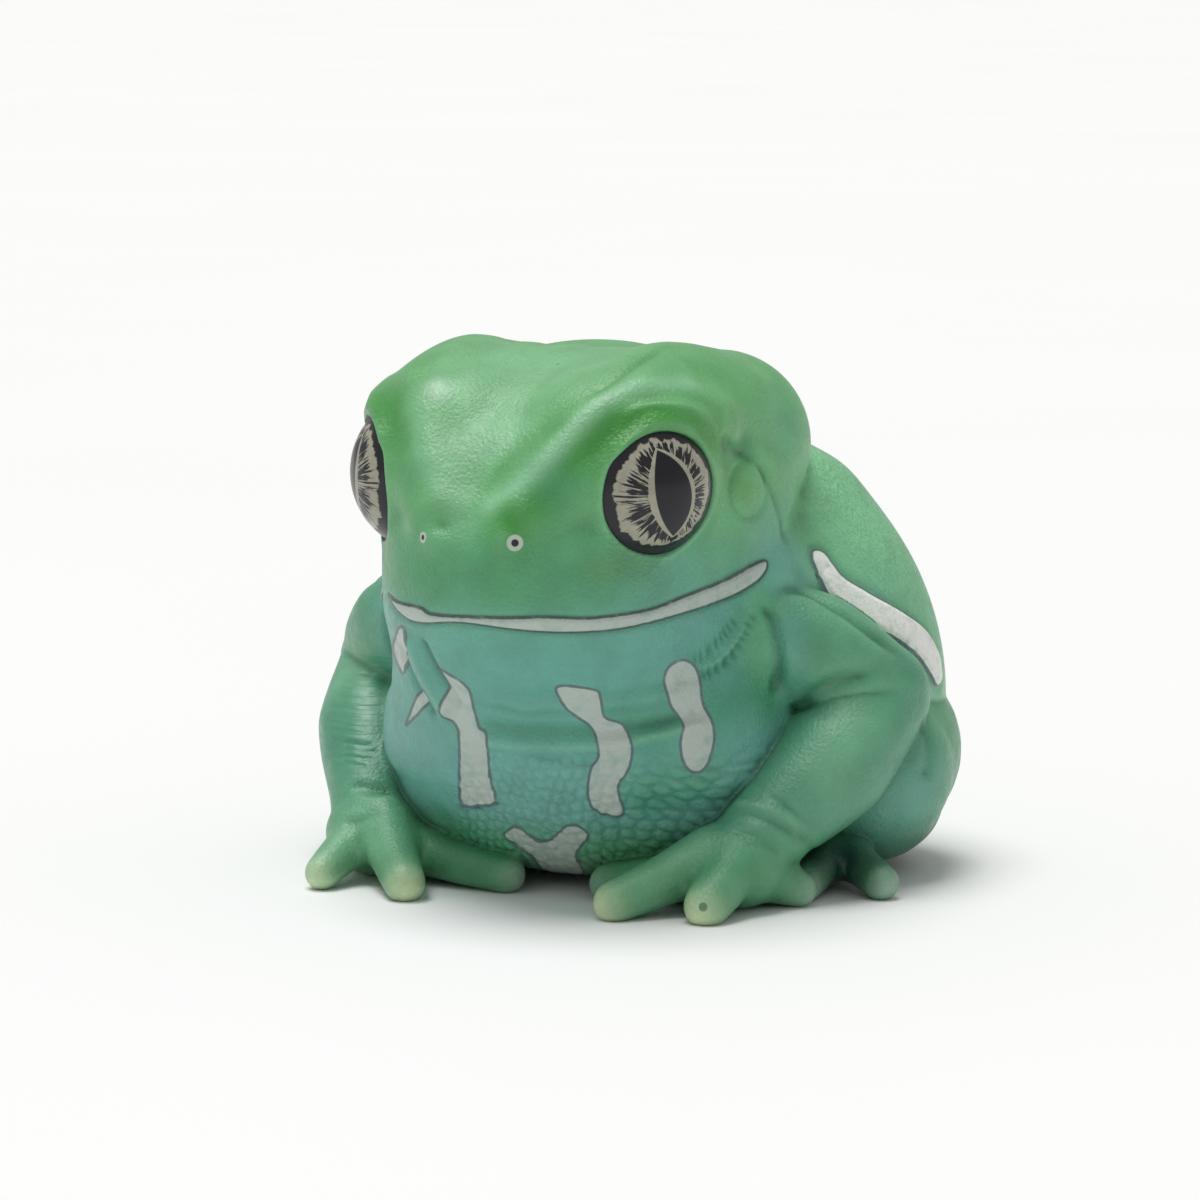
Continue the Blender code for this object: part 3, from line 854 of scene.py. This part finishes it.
# Soft sprayed patches and bands, and among them painted highlights (the pale mint and glint patches)
# and painted shade (the jade, deep and near-black patches): pixels on the skin, a radius, the colour,
# how strong it is, and how much of it the frog's right side has. None stands for a patch that is only
# where it is seen.
PATCHES = [
    # Painted highlights on the forehead and on the top of the snout
    ([(560, 370)], 10.0, MINT_HIGHLIGHT, 0.45, 1.0),
    ([(500, 450)], 7.0, MINT_HIGHLIGHT, 0.55, 1.0),
    ([(500, 580)], 6.0, LIME, 0.7, 1.0),
    ([(560, 590), (650, 575)], 4.5, LIME, 0.5, 1.0),
    ([(600, 572), (640, 566)], 2.0, OLIVE, 0.35, 1.0),
    ([(870, 520)], 15.0, BACK_GREEN, 0.95, 1.0),
    ([(770, 545)], 5.0, SKY, 0.5, 1.0),
    ([(788, 562)], 3.2, SKY, 0.5, 1.0),
    ([(785, 430)], 5.0, TEAL, 0.3, 1.0),
    ([(747, 490)], 1.7, OLIVE, 0.5, 1.0),
    (VALLEY, 1.5, GRASS, 0.3, 0.4),
    ([(560, 425), (520, 455), (480, 490)], 1.6, GRASS, 0.4, 0.4),
    (TROUGH, 3.2, GRASS, 0.9, 0.4),
    ([(630, 426), (690, 428), (722, 446)], 2.6, GRASS, 0.75, 0.4),
    # Painted highlight along the crest of the brow ridge
    (CREST, 1.4, MINT_HIGHLIGHT, 0.7, 0.5),
    ([(560, 490)], 3.5, TEAL, 0.3, 0.5),
    ([(680, 565), (640, 590)], 4.0, SKY, 0.25, 0.5),
    ([(762, 606), (757, 640), (760, 674), (770, 696)], 2.6, SEA, 0.9, 1.0),
    # Painted shade in the corner behind the eye
    ([(728, 446), (745, 452)], 2.0, DEEP, 0.4, 1.0),
    # Painted shade in the crease over the upper arm
    ([(800, 578), (812, 590)], 1.8, DEEP, 0.4, 1.0),
    ([(790, 630), (792, 690)], 2.2, TEAL, 0.8, 1.0),
    # Painted shade in the hollow under the flank stripe
    ([(880, 640), (915, 672)], 2.2, DEEP, 0.4, 1.0),
    # Painted highlight and a whitish painted glint on the far brow
    ([(436, 388)], 3.0, MINT_HIGHLIGHT, 0.9, None),
    ([(434, 384), (438, 394)], 1.1, GLINT, 0.35, None),
    # Painted highlight down the far side of the snout
    ([(450, 470), (450, 520)], 4.0, MINT_HIGHLIGHT, 0.3, None),
    ([(395, 395)], 5.0, GRASS, 0.5, None),
    # Painted shade under the chest fold and on the shadowed belly beside and below the white marks
    ([(462, 728), (500, 731), (540, 734), (600, 734)], 1.4, JADE_SHADE, 0.45, None),
    ([(622, 728), (650, 725), (690, 716), (740, 705), (770, 700)], 3.2, JADE_SHADE, 0.65, None),
    ([(650, 795), (700, 772)], 4.5, JADE_SHADE, 0.6, None),
    ([(461, 806), (478, 807), (497, 803)], 0.3, INK, 0.9, None),
    # Painted shadow under the thigh, between the hand and the hind foot
    ([(822, 862), (846, 858), (862, 860)], 3.2, DEEP_SHADOW, 0.95, 1.0),
    ([(834, 880), (852, 880)], 1.6, DEEP_SHADOW, 0.8, 1.0),
    # Painted shade on the lower belly by the right hand
    ([(446, 815), (500, 850)], 2.4, JADE_SHADE, 0.5, None),
    # Painted shade in the crinkled folds under the jaw
    (CRINKLES[0], 1.0, JADE_SHADE, 0.4, 1.0),
    (CRINKLES[1], 1.0, JADE_SHADE, 0.4, 1.0),
    # Painted highlight on the right hand
    ([(355, 850)], 8.0, MINT_HIGHLIGHT, 0.4, None),
    # Painted shade on the right forearm
    ([(365, 740)], 6.0, DEEP, 0.4, None),
    # Painted highlight on the right arm
    ([(348, 670)], 4.0, MINT_HIGHLIGHT, 0.35, None),
    # Painted highlights on the left forearm and on the left hand's knuckles
    ([(860, 720), (830, 770)], 3.5, MINT_HIGHLIGHT, 0.3, None),
    ([(690, 845), (650, 875)], 3.0, MINT_HIGHLIGHT, 0.25, None),
    ([(880, 820), (915, 800)], 5.0, SKY, 0.55, 1.0),
]
PATCH_REACH = 2.5
TIP_STRENGTH = 0.95
FINGER_TIP_REACH = 3.0
TOE_TIP_REACH = 2.4
# Painted shade and painted highlight: hollows are darker and a little greener, and ridges paler
HOLLOW_ROUNDS = 36
HOLLOW_DEPTH = 0.26
HOLLOW_SHADE = 0.42
HOLLOW_TINT = np.array([1.3, 1.0, 1.15])
RIDGE_LIGHT = 0.3


def blend(base, colour, amount):
    return base + (linear(colour) - base) * amount[:, None]


def paint_skin(skin):
    """The sprayed colours, with painted shade and painted highlights, as a colour for each point."""
    heights = [height for height, _ in TRUNK_COLOURS]
    colours = np.array([linear(colour) for _, colour in TRUNK_COLOURS])
    _, y, z = skin.points.T
    base = np.stack([np.interp(z, heights, channel) for channel in colours.T], axis=1)
    limb = 1.0 - skin.trunk
    base = blend(base, BACK_GREEN, 0.8 * smooth_step(6.0, 18.0, y) * smooth_step(2.0, 18.0, z))
    base = blend(base, FERN, 0.75 * limb)
    # Painted shade: the limbs are darker low down, on the feet and shanks behind the hands
    base = blend(base, FOOT_SHADE, 0.85 * limb * smooth_step(9.5, 4.5, z) * smooth_step(-12.0, -5.0, y))
    for side, fingers, last_toe in ((1.0, LEFT_FINGERS, LEFT_TOE), (-1.0, RIGHT_FINGERS, RIGHT_TOE)):
        for digit in fingers + TOES + [last_toe]:
            *end, radius = digit[-1]
            run = np.array(end) - digit[-2][:3]
            tip = (end + radius * run / np.linalg.norm(run)) * (side, 1.0, 1.0)
            gap = np.linalg.norm(skin.points - tip, axis=1)
            is_pale = digit in fingers[::2]
            pale, reach = (PALE_TIP, FINGER_TIP_REACH) if is_pale else (PALE_TOE, TOE_TIP_REACH)
            base = blend(base, pale, TIP_STRENGTH * np.exp(-((gap / reach) ** 2)))
    for pixels, radius, colour, strength, far in PATCHES:
        fold = far is not None
        line = skin.line(pixels if len(pixels) > 1 else pixels * 2, fold)
        chosen, gap, _ = skin.near(line, radius * PATCH_REACH, fold)
        amount = strength * np.exp(-((gap / radius) ** 2))
        if fold:
            amount *= far + (1 - far) * smooth_step(-2.0, 2.0, skin.points[chosen, 0])
        base[chosen] = blend(base[chosen], colour, amount)
    # Painted shade in the hollows, and painted highlight on the ridges
    hollow = skin.hollows(HOLLOW_ROUNDS)
    base *= (1.0 - HOLLOW_SHADE * smooth_step(0.0, HOLLOW_DEPTH, hollow))[:, None] ** HOLLOW_TINT
    return blend(base, MINT_HIGHLIGHT, RIDGE_LIGHT * smooth_step(0.0, -HOLLOW_DEPTH, hollow))


# Small dark specks, each a pixel and a radius
SPECKS = [
    ((558, 364), 0.22),
    ((570, 374), 0.2),
    ((703, 907), 0.55),
    ((779, 900), 0.25),
    ((367, 857), 0.3),
]


def speck_gap(skin):
    """Each point's distance outside the nearest small dark speck, in millimetres."""
    gap = np.full(len(skin.points), FAR_AWAY)
    for pixel, radius in SPECKS:
        gap = np.minimum(gap, np.linalg.norm(skin.points - skin.at(pixel), axis=1) - radius)
    return gap


# White marks, outlined in the photograph's pixels
MARKS = [
    [(435, 668), (466, 686), (474, 710), (478, 727), (487, 737), (489, 774), (495, 802),
     (478, 806), (462, 805), (459, 788), (458, 731), (444, 715), (443, 702), (447, 686)],
    [(557, 687), (594, 690), (601, 699), (605, 718), (624, 727), (632, 748), (629, 769),
     (618, 788), (624, 812), (616, 817), (597, 812), (588, 798), (590, 772), (598, 758),
     (597, 742), (589, 727), (567, 710)],
    [(684, 660), (699, 672), (702, 697), (712, 721), (714, 742), (707, 766), (696, 773),
     (685, 765), (680, 742), (683, 721), (671, 705), (665, 680), (669, 667)],
    [(506, 832), (517, 828), (535, 840), (549, 841), (565, 828), (578, 827), (588, 837),
     (576, 855), (583, 876), (550, 878), (530, 856), (506, 839)],
    [(399, 628), (404, 628), (410, 642), (407, 655), (404, 673), (399, 668), (393, 650),
     (395, 638)],
    [(420, 691), (428, 701), (409, 723), (407, 721)],
]
LIPS = [
    (387, 594), (397, 602), (420, 608), (436, 615), (500, 618), (545, 617), (594, 618), (648, 610),
    (688, 595), (728, 579), (757, 563), (767, 561), (766, 571), (755, 583), (728, 598), (675, 616),
    (621, 629), (567, 633), (514, 630), (460, 623), (418, 623), (398, 612),
]


# How far outside an outline its distance counts, in pixels, and in millimetres on the right side
OUTLINE_MARGIN = 14
OUTLINE_REACH = 1.5


def outside(pixels, outline):
    """Each pixel's distance outside a closed outline, and below zero inside it."""
    gap, _ = distance_to_line(pixels, np.concatenate([outline, outline[:1]]))
    inside = np.zeros(len(pixels), bool)
    u, v = pixels[:, 0], pixels[:, 1]
    for (x0, y0), (x1, y1) in zip(outline, np.roll(outline, -1, axis=0)):
        if y0 == y1:
            continue
        crosses = (v < y0) != (v < y1)
        inside ^= crosses & (u < x0 + (x1 - x0) * (v - y0) / (y1 - y0))
    return np.where(inside, -gap, gap)


def outline_gap(skin, outlines, fold=False):
    """Each seen point's distance outside the nearest outline, in millimetres.

    A folded outline is repeated on the frog's right side, where the camera doesn't see it.
    """
    gap = np.full(len(skin.points), FAR_AWAY)
    for outline in outlines:
        edge = ring_through(outline)
        low, high = edge.min(axis=0) - OUTLINE_MARGIN, edge.max(axis=0) + OUTLINE_MARGIN
        near = ((skin.pixels > low) & (skin.pixels < high)).all(axis=1) & (skin.normals @ BACK > -0.1)
        chosen = np.array([index for index in np.nonzero(near)[0] if skin.is_seen(index)])
        far = outside(skin.pixels[chosen], edge) / PIXELS_PER_MM
        far = np.where(skin.trunk[chosen] > 0.5, far, FAR_AWAY)
        gap[chosen] = np.minimum(gap[chosen], far)
        if fold:
            hidden = (skin.points[:, 0] < 0) & (gap == FAR_AWAY) & (skin.trunk > 0.5)
            pixels = to_pixels(skin.folded[hidden])
            facing = (skin.normals[hidden] * (-1.0, 1.0, 1.0)) @ BACK > 0.0
            far = outside(pixels, edge) / PIXELS_PER_MM
            gap[hidden] = np.where(facing & (far < OUTLINE_REACH), far, FAR_AWAY)
    return gap


def shape_lips(skin, gap):
    """A low rounded lip with a fine groove round it."""
    lift = 0.22 * smooth_step(0.1, -0.5, gap) - 0.2 * np.exp(-(((gap - 0.1) / 0.3) ** 2))
    skin.points += skin.normals * lift[:, None]


# How far the black paint reaches outside the rim, on the left eye and on the right
RIM_PAINT_LEFT = 0.15
RIM_PAINT_RIGHT = 0.5


def rim_gap(skin):
    """Each point's distance outside the black paint round the eye, in millimetres."""
    offset = skin.folded - RIM_MIDDLE
    depth = offset @ EYE_AXIS
    spread = np.linalg.norm(offset - depth[:, None] * EYE_AXIS, axis=1)
    reach = np.where(skin.points[:, 0] > 0, RIM_PAINT_LEFT, RIM_PAINT_RIGHT)
    return np.where(depth > 0, spread - RIM_RADIUS - reach, FAR_AWAY)


def store(mesh, name, values):
    """Keeps a number or a colour for each point of the mesh."""
    values = np.asarray(values, np.float32)
    if values.ndim == 2:
        values = np.concatenate([values, np.ones((len(values), 1), np.float32)], axis=1)
        layer = mesh.attributes.new(name, "FLOAT_COLOR", "POINT")
        layer.data.foreach_set("color", values.ravel())
    else:
        layer = mesh.attributes.new(name, "FLOAT", "POINT")
        layer.data.foreach_set("value", values)


# Materials


def node(tree, kind, inputs=None, **settings):
    """A shader node. Each input is a number, a colour or another node's output."""
    made = tree.nodes.new("ShaderNode" + kind)
    for name, setting in settings.items():
        setattr(made, name, setting)
    for socket, given in (inputs or {}).items():
        if isinstance(given, bpy.types.NodeSocket):
            tree.links.new(given, made.inputs[socket])
        else:
            made.inputs[socket].default_value = given
    return made


def value(tree, operation, *numbers):
    return node(tree, "Math", dict(enumerate(numbers)), operation=operation).outputs[0]


def vector(tree, operation, *values):
    return node(tree, "VectorMath", dict(enumerate(values)), operation=operation).outputs[0]


def mixed(tree, amount, first, second, blend_type="MIX"):
    made = node(tree, "Mix", {0: amount, 6: first, 7: second}, data_type="RGBA", blend_type=blend_type)
    return made.outputs[2]


def ramp(tree, number, low, high, start=0.0, end=1.0):
    """A number carried smoothly from low..high to start..end."""
    inputs = {"Value": number, "From Min": low, "From Max": high, "To Min": start, "To Max": end}
    return node(tree, "MapRange", inputs, interpolation_type="SMOOTHSTEP").outputs[0]


def noise_of(tree, place, scale, detail=2.0, rough=0.5):
    inputs = {"Vector": place, "Scale": scale, "Detail": detail, "Roughness": rough}
    return node(tree, "TexNoise", inputs).outputs["Fac"]


def opaque(colour):
    return (*linear(colour), 1.0)


def new_material(name):
    material = bpy.data.materials.new(name)
    material.use_nodes = True
    tree = material.node_tree
    shader = tree.nodes["Principled BSDF"]
    coordinates = node(tree, "TexCoord").outputs["Object"]
    place = node(tree, "VectorMath", {0: coordinates, "Scale": 1.0 / MM}, operation="SCALE").outputs[0]
    return material, tree, shader, place


# The nostril: a painted white ring, and inside it a dark spot, painted shade for the opening, which
# isn't cut into the skin
NOSTRIL = (515, 543)
NOSTRIL_RING = 0.98
NOSTRIL_HOLE = 0.45
NOSTRIL_EDGE = 0.08
FAR_NOSTRIL_SIZE = 0.7
RING_COLOUR = (184, 196, 182)
HOLE_SHADE = (22, 24, 24)
# The grain's scales for each millimetre, and the bump's height in millimetres
PEBBLE_SCALE = 2.3
FINE_SCALE = 4.2
BACK_WRINKLE_SCALE = (1.5, 2.4, 0.25)
BACK_WRINKLES = 5.0
ARM_CREASE_SCALE = (0.12, 0.12, 1.7)
ARM_CREASES = 1.2
GRAIN_HEIGHT = 0.09


def skin_material(nostril):
    material, tree, shader, place = new_material("painted_skin")
    paint = node(tree, "Attribute", attribute_name="paint").outputs["Color"]
    cloud = noise_of(tree, place, 0.22, 4.0)
    mist = noise_of(tree, place, 2.6, 2.0)
    shade = ramp(tree, cloud, 0.3, 0.7, 0.93, 1.07)
    shade = value(tree, "ADD", shade, ramp(tree, mist, 0.3, 0.7, -0.03, 0.03))
    tone = node(tree, "CombineXYZ", {0: shade, 1: shade, 2: shade}).outputs[0]
    colour = mixed(tree, 1.0, paint, tone, "MULTIPLY")
    wobble = value(tree, "SUBTRACT", noise_of(tree, place, 0.9, 3.0), 0.5)
    wobble = value(tree, "MULTIPLY", wobble, 0.18)
    uneven = noise_of(tree, place, 0.6, 2.0)
    x, y, z = node(tree, "SeparateXYZ", {0: place}).outputs
    white = mixed(tree, ramp(tree, y, -2.0, 4.0), opaque(WHITE), opaque(BRIGHT_WHITE))
    white = mixed(tree, ramp(tree, uneven, 0.45, 0.8, 0.0, 0.35), white, paint)
    for name, line_colour, width in (("mark", LINE, 0.13), ("lip", LIP_LINE, 0.12)):
        edge = value(tree, "ADD", node(tree, "Attribute", attribute_name=name).outputs["Fac"], wobble)
        line = ramp(tree, value(tree, "ABSOLUTE", edge), width, width + 0.1, 1.0, 0.0)
        line = value(tree, "MULTIPLY", line, ramp(tree, uneven, 0.2, 0.5, 0.55, 0.95))
        colour = mixed(tree, ramp(tree, edge, -0.05, 0.05, 1.0, 0.0), colour, white)
        colour = mixed(tree, line, colour, opaque(line_colour))
    black = node(tree, "Attribute", attribute_name="rim").outputs["Fac"]
    colour = mixed(tree, ramp(tree, black, -0.08, 0.08, 1.0, 0.0), colour, opaque(EYE_BLACK))
    speck = node(tree, "Attribute", attribute_name="speck").outputs["Fac"]
    colour = mixed(tree, ramp(tree, speck, -0.1, 0.1, 0.8, 0.0), colour, opaque(SPECK))
    folded = node(tree, "CombineXYZ", {0: value(tree, "ABSOLUTE", x), 1: y, 2: z}).outputs[0]
    away = node(tree, "VectorMath", {0: folded, 1: nostril}, operation="DISTANCE").outputs["Value"]
    away = value(tree, "DIVIDE", away, ramp(tree, x, -1.0, 1.0, FAR_NOSTRIL_SIZE, 1.0))
    # The white ring, then the dark painted shade of the nostril's opening
    for radius, nostril_colour in ((NOSTRIL_RING, RING_COLOUR), (NOSTRIL_HOLE, HOLE_SHADE)):
        spot = ramp(tree, away, radius - NOSTRIL_EDGE, radius + NOSTRIL_EDGE, 1.0, 0.0)
        colour = mixed(tree, spot, colour, opaque(nostril_colour))
    tree.links.new(colour, shader.inputs["Base Color"])
    rough = ramp(tree, noise_of(tree, place, 0.8, 3.0), 0.3, 0.7, 0.32, 0.44)
    tree.links.new(rough, shader.inputs["Roughness"])
    # Leathery grain everywhere, and fine wrinkles round the back
    pebbles = node(tree, "TexVoronoi", {"Vector": place, "Scale": PEBBLE_SCALE}, feature="SMOOTH_F1")
    pebbles = value(tree, "MULTIPLY", pebbles.outputs["Distance"], -1.0)
    fine = value(tree, "MULTIPLY", noise_of(tree, place, FINE_SCALE, 3.0, 0.6), 0.8)
    grain = value(tree, "ADD", pebbles, fine)
    swirl = node(tree, "TexNoise", {"Vector": place, "Scale": 0.35}).outputs["Color"]
    bent = vector(tree, "MULTIPLY_ADD", swirl, (1.2, 1.2, 1.2), place)
    drawn_out = node(tree, "Mapping", {"Vector": bent, "Scale": BACK_WRINKLE_SCALE}).outputs[0]
    wrinkles = noise_of(tree, drawn_out, 1.0)
    on_back = value(tree, "MULTIPLY", ramp(tree, y, 4.0, 12.0), ramp(tree, z, 20.0, 32.0))
    wrinkles = value(tree, "MULTIPLY", wrinkles, on_back)
    relief = value(tree, "MULTIPLY_ADD", wrinkles, BACK_WRINKLES, grain)
    # Fine creases round the right forearm
    round_arm = node(tree, "Mapping", {"Vector": place, "Scale": ARM_CREASE_SCALE}).outputs[0]
    creases = noise_of(tree, round_arm, 1.0)
    on_arm = value(tree, "MULTIPLY", ramp(tree, x, -25.0, -30.0), ramp(tree, z, 11.0, 14.0))
    on_arm = value(tree, "MULTIPLY", on_arm, ramp(tree, z, 30.0, 25.0))
    relief = value(tree, "MULTIPLY_ADD", value(tree, "SUBTRACT", creases, relief), on_arm, relief)
    relief = value(tree, "MULTIPLY_ADD", value(tree, "MULTIPLY", creases, on_arm), ARM_CREASES, relief)
    bump = node(tree, "Bump", {"Strength": 0.9, "Distance": GRAIN_HEIGHT * MM, "Height": relief})
    tree.links.new(bump.outputs[0], shader.inputs["Normal"])
    return material


IRIS_RADIUS = 6.43
IRIS_SHIFT = 0.15
PUPIL_MIDDLE = (0.03, 0.37)
PUPIL_LEAN = math.radians(13.9)
PUPIL_HALF_LENGTH = 5.4
PUPIL_NOSE_SIDE = 2.0
PUPIL_EAR_SIDE = 2.97
IRIS = (166, 164, 146)
IRIS_SHADE = (128, 126, 112)
PUPIL = (26, 26, 31)
EYE_BLACK = (34, 34, 40)


def eye_material(name, side):
    """A painted eye: a black rim, a pale iris with dark branching streaks and a pointed pupil."""
    material, tree, shader, place = new_material(name)
    x, y, z = node(tree, "SeparateXYZ", {0: place}).outputs
    x = value(tree, "MULTIPLY", x, side)
    x = value(tree, "SUBTRACT", x, PUPIL_MIDDLE[0])
    y = value(tree, "SUBTRACT", y, PUPIL_MIDDLE[1])
    lean, rise = math.sin(PUPIL_LEAN), math.cos(PUPIL_LEAN)
    across = value(tree, "ADD", value(tree, "MULTIPLY", x, rise), value(tree, "MULTIPLY", y, lean))
    along = value(tree, "SUBTRACT", value(tree, "MULTIPLY", y, rise), value(tree, "MULTIPLY", x, lean))

    def arc(bulge, direction):
        """The distance outside one of the pupil's two curved sides."""
        radius = (PUPIL_HALF_LENGTH**2 + bulge**2) / (2 * bulge)
        offset = value(tree, "ADD", across, direction * (bulge - radius))
        flat = node(tree, "CombineXYZ", {0: offset, 1: along, 2: 0.0}).outputs[0]
        reach = node(tree, "VectorMath", {0: flat}, operation="LENGTH").outputs["Value"]
        return value(tree, "SUBTRACT", reach, radius)

    pupil = value(tree, "MAXIMUM", arc(PUPIL_NOSE_SIDE, 1.0), arc(PUPIL_EAR_SIDE, -1.0))
    flat = node(tree, "CombineXYZ", {0: value(tree, "ADD", x, IRIS_SHIFT), 1: y, 2: 0.0}).outputs[0]
    reach = node(tree, "VectorMath", {0: flat}, operation="LENGTH").outputs["Value"]
    rim = value(tree, "SUBTRACT", reach, IRIS_RADIUS)
    share = value(tree, "DIVIDE", pupil, value(tree, "SUBTRACT", pupil, rim))
    direction = node(tree, "VectorMath", {0: flat}, operation="NORMALIZE").outputs[0]
    spoke = node(tree, "SeparateXYZ", {0: direction}).outputs

    def spokes(count, radial, detail):
        """Noise drawn out along the radius."""
        ring = [value(tree, "MULTIPLY", axis, count) for axis in spoke[:2]]
        depth = value(tree, "MULTIPLY", share, radial)
        seat = node(tree, "CombineXYZ", {0: ring[0], 1: ring[1], 2: depth})
        return noise_of(tree, seat.outputs[0], 1.0, detail, 0.55)

    lobes = value(tree, "MULTIPLY", value(tree, "SUBTRACT", spokes(5.0, 0.5, 2.0), 0.5), 1.6)
    iris = ramp(tree, value(tree, "ADD", rim, lobes), -0.1, 0.1, 1.0, 0.0)
    fade = ramp(tree, share, 0.5, 1.0, 1.0, 0.42)
    window = value(tree, "MULTIPLY", ramp(tree, share, 0.13, 0.22), fade)
    dark = value(tree, "ADD", spokes(17.0, 1.4, 3.0), value(tree, "MULTIPLY", window, 0.4))
    dark = ramp(tree, dark, 0.82, 0.86)
    uneven = noise_of(tree, place, 1.2, 3.0)
    pale = mixed(tree, ramp(tree, uneven, 0.3, 0.7, 0.0, 0.35), opaque(IRIS), opaque(IRIS_SHADE))
    colour = mixed(tree, dark, pale, opaque(EYE_BLACK))
    colour = mixed(tree, iris, opaque(EYE_BLACK), colour)
    colour = mixed(tree, ramp(tree, pupil, -0.06, 0.06, 1.0, 0.0), colour, opaque(PUPIL))
    tree.links.new(colour, shader.inputs["Base Color"])
    shader.inputs["Roughness"].default_value = 0.3
    shader.inputs["Specular IOR Level"].default_value = 0.3
    shader.inputs["Coat Weight"].default_value = 0.1
    shader.inputs["Coat Roughness"].default_value = 0.08
    return material


def make_eye(name, side):
    """One glossy painted eyeball, its pole along the line of sight."""
    bm = bmesh.new()
    bmesh.ops.create_uvsphere(bm, u_segments=128, v_segments=64, radius=EYE_RADIUS * MM)
    mesh = finished(bm, name)
    mesh.shade_smooth()
    mesh.materials.append(eye_material("painted_" + name, side))
    flip = np.array([side, 1.0, 1.0])
    axis = Vector(EYE_AXIS * flip)
    across = Vector(EYE_ACROSS * flip) * side
    turn = Matrix((across, axis.cross(across), axis)).transposed()
    obj = placed(name, mesh)
    obj.matrix_world = Matrix.Translation(Vector(EYE_CENTRE * flip) * MM) @ turn.to_4x4()
    return obj


FLOOR_COLOURS = ((243, 243, 242), (247, 247, 246))
FLOOR_SIZE = 30000.0
KEY_STRENGTH = 2.1
KEY_ANGLE = math.radians(36.0)
KEY_DIRECTION = (-0.16, -0.02, 1.0)
WORLD_STRENGTH = 0.45


def floor_material():
    material, tree, shader, place = new_material("pale_floor")
    soft = noise_of(tree, place, 0.004, 2.0)
    colour = mixed(tree, soft, *(opaque(colour) for colour in FLOOR_COLOURS))
    tree.links.new(colour, shader.inputs["Base Color"])
    shader.inputs["Roughness"].default_value = 0.7
    return material


def make_stage():
    bm = bmesh.new()
    bmesh.ops.create_grid(bm, x_segments=1, y_segments=1, size=FLOOR_SIZE / 2 * MM)
    mesh = finished(bm, "floor")
    mesh.materials.append(floor_material())
    placed("floor", mesh)
    data = bpy.data.lights.new("key", "SUN")
    data.energy = KEY_STRENGTH
    data.angle = KEY_ANGLE
    key = placed("key", data)
    key.rotation_mode = "QUATERNION"
    key.rotation_quaternion = (-Vector(KEY_DIRECTION)).to_track_quat("-Z", "Y")
    world = bpy.data.worlds.new("studio")
    bpy.context.scene.world = world
    world.use_nodes = True
    background = world.node_tree.nodes["Background"]
    background.inputs["Color"].default_value = (1.0, 1.0, 1.0, 1.0)
    background.inputs["Strength"].default_value = WORLD_STRENGTH
    bpy.context.scene.view_settings.view_transform = "Standard"


def make_skin():
    mesh, body, limbs = build_skin()
    skin = Skin(mesh, body, limbs)
    skin.relax(ARMPIT, 2.4, 80)
    shape_head(skin)
    skin.write()
    stripe = stripe_gap(skin)
    marks = outline_gap(skin, MARKS)
    lips = outline_gap(skin, [LIPS], fold=True)
    shape_trunk(skin)
    shape_limbs(skin)
    shape_stripe(skin, stripe)
    shape_lips(skin, lips)
    shape_cobbles(skin)
    sink_eye_rims(skin)
    skin.write()
    store(mesh, "paint", paint_skin(skin))
    store(mesh, "mark", np.minimum(marks, stripe))
    store(mesh, "lip", lips)
    store(mesh, "rim", rim_gap(skin))
    store(mesh, "speck", speck_gap(skin))
    mesh.shade_smooth()
    mesh.materials.clear()
    mesh.materials.append(skin_material(skin.at(NOSTRIL)))
    obj = placed("skin", mesh)
    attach(obj, "root")
    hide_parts(*[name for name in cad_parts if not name.startswith("eye")])


def main():
    make_camera()
    make_stage()
    make_skin()
    for name, side in (("left", 1.0), ("right", -1.0)):
        eye = make_eye("eyeball_" + name, side)
        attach(eye, "root")
        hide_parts("eye_" + name)


main()
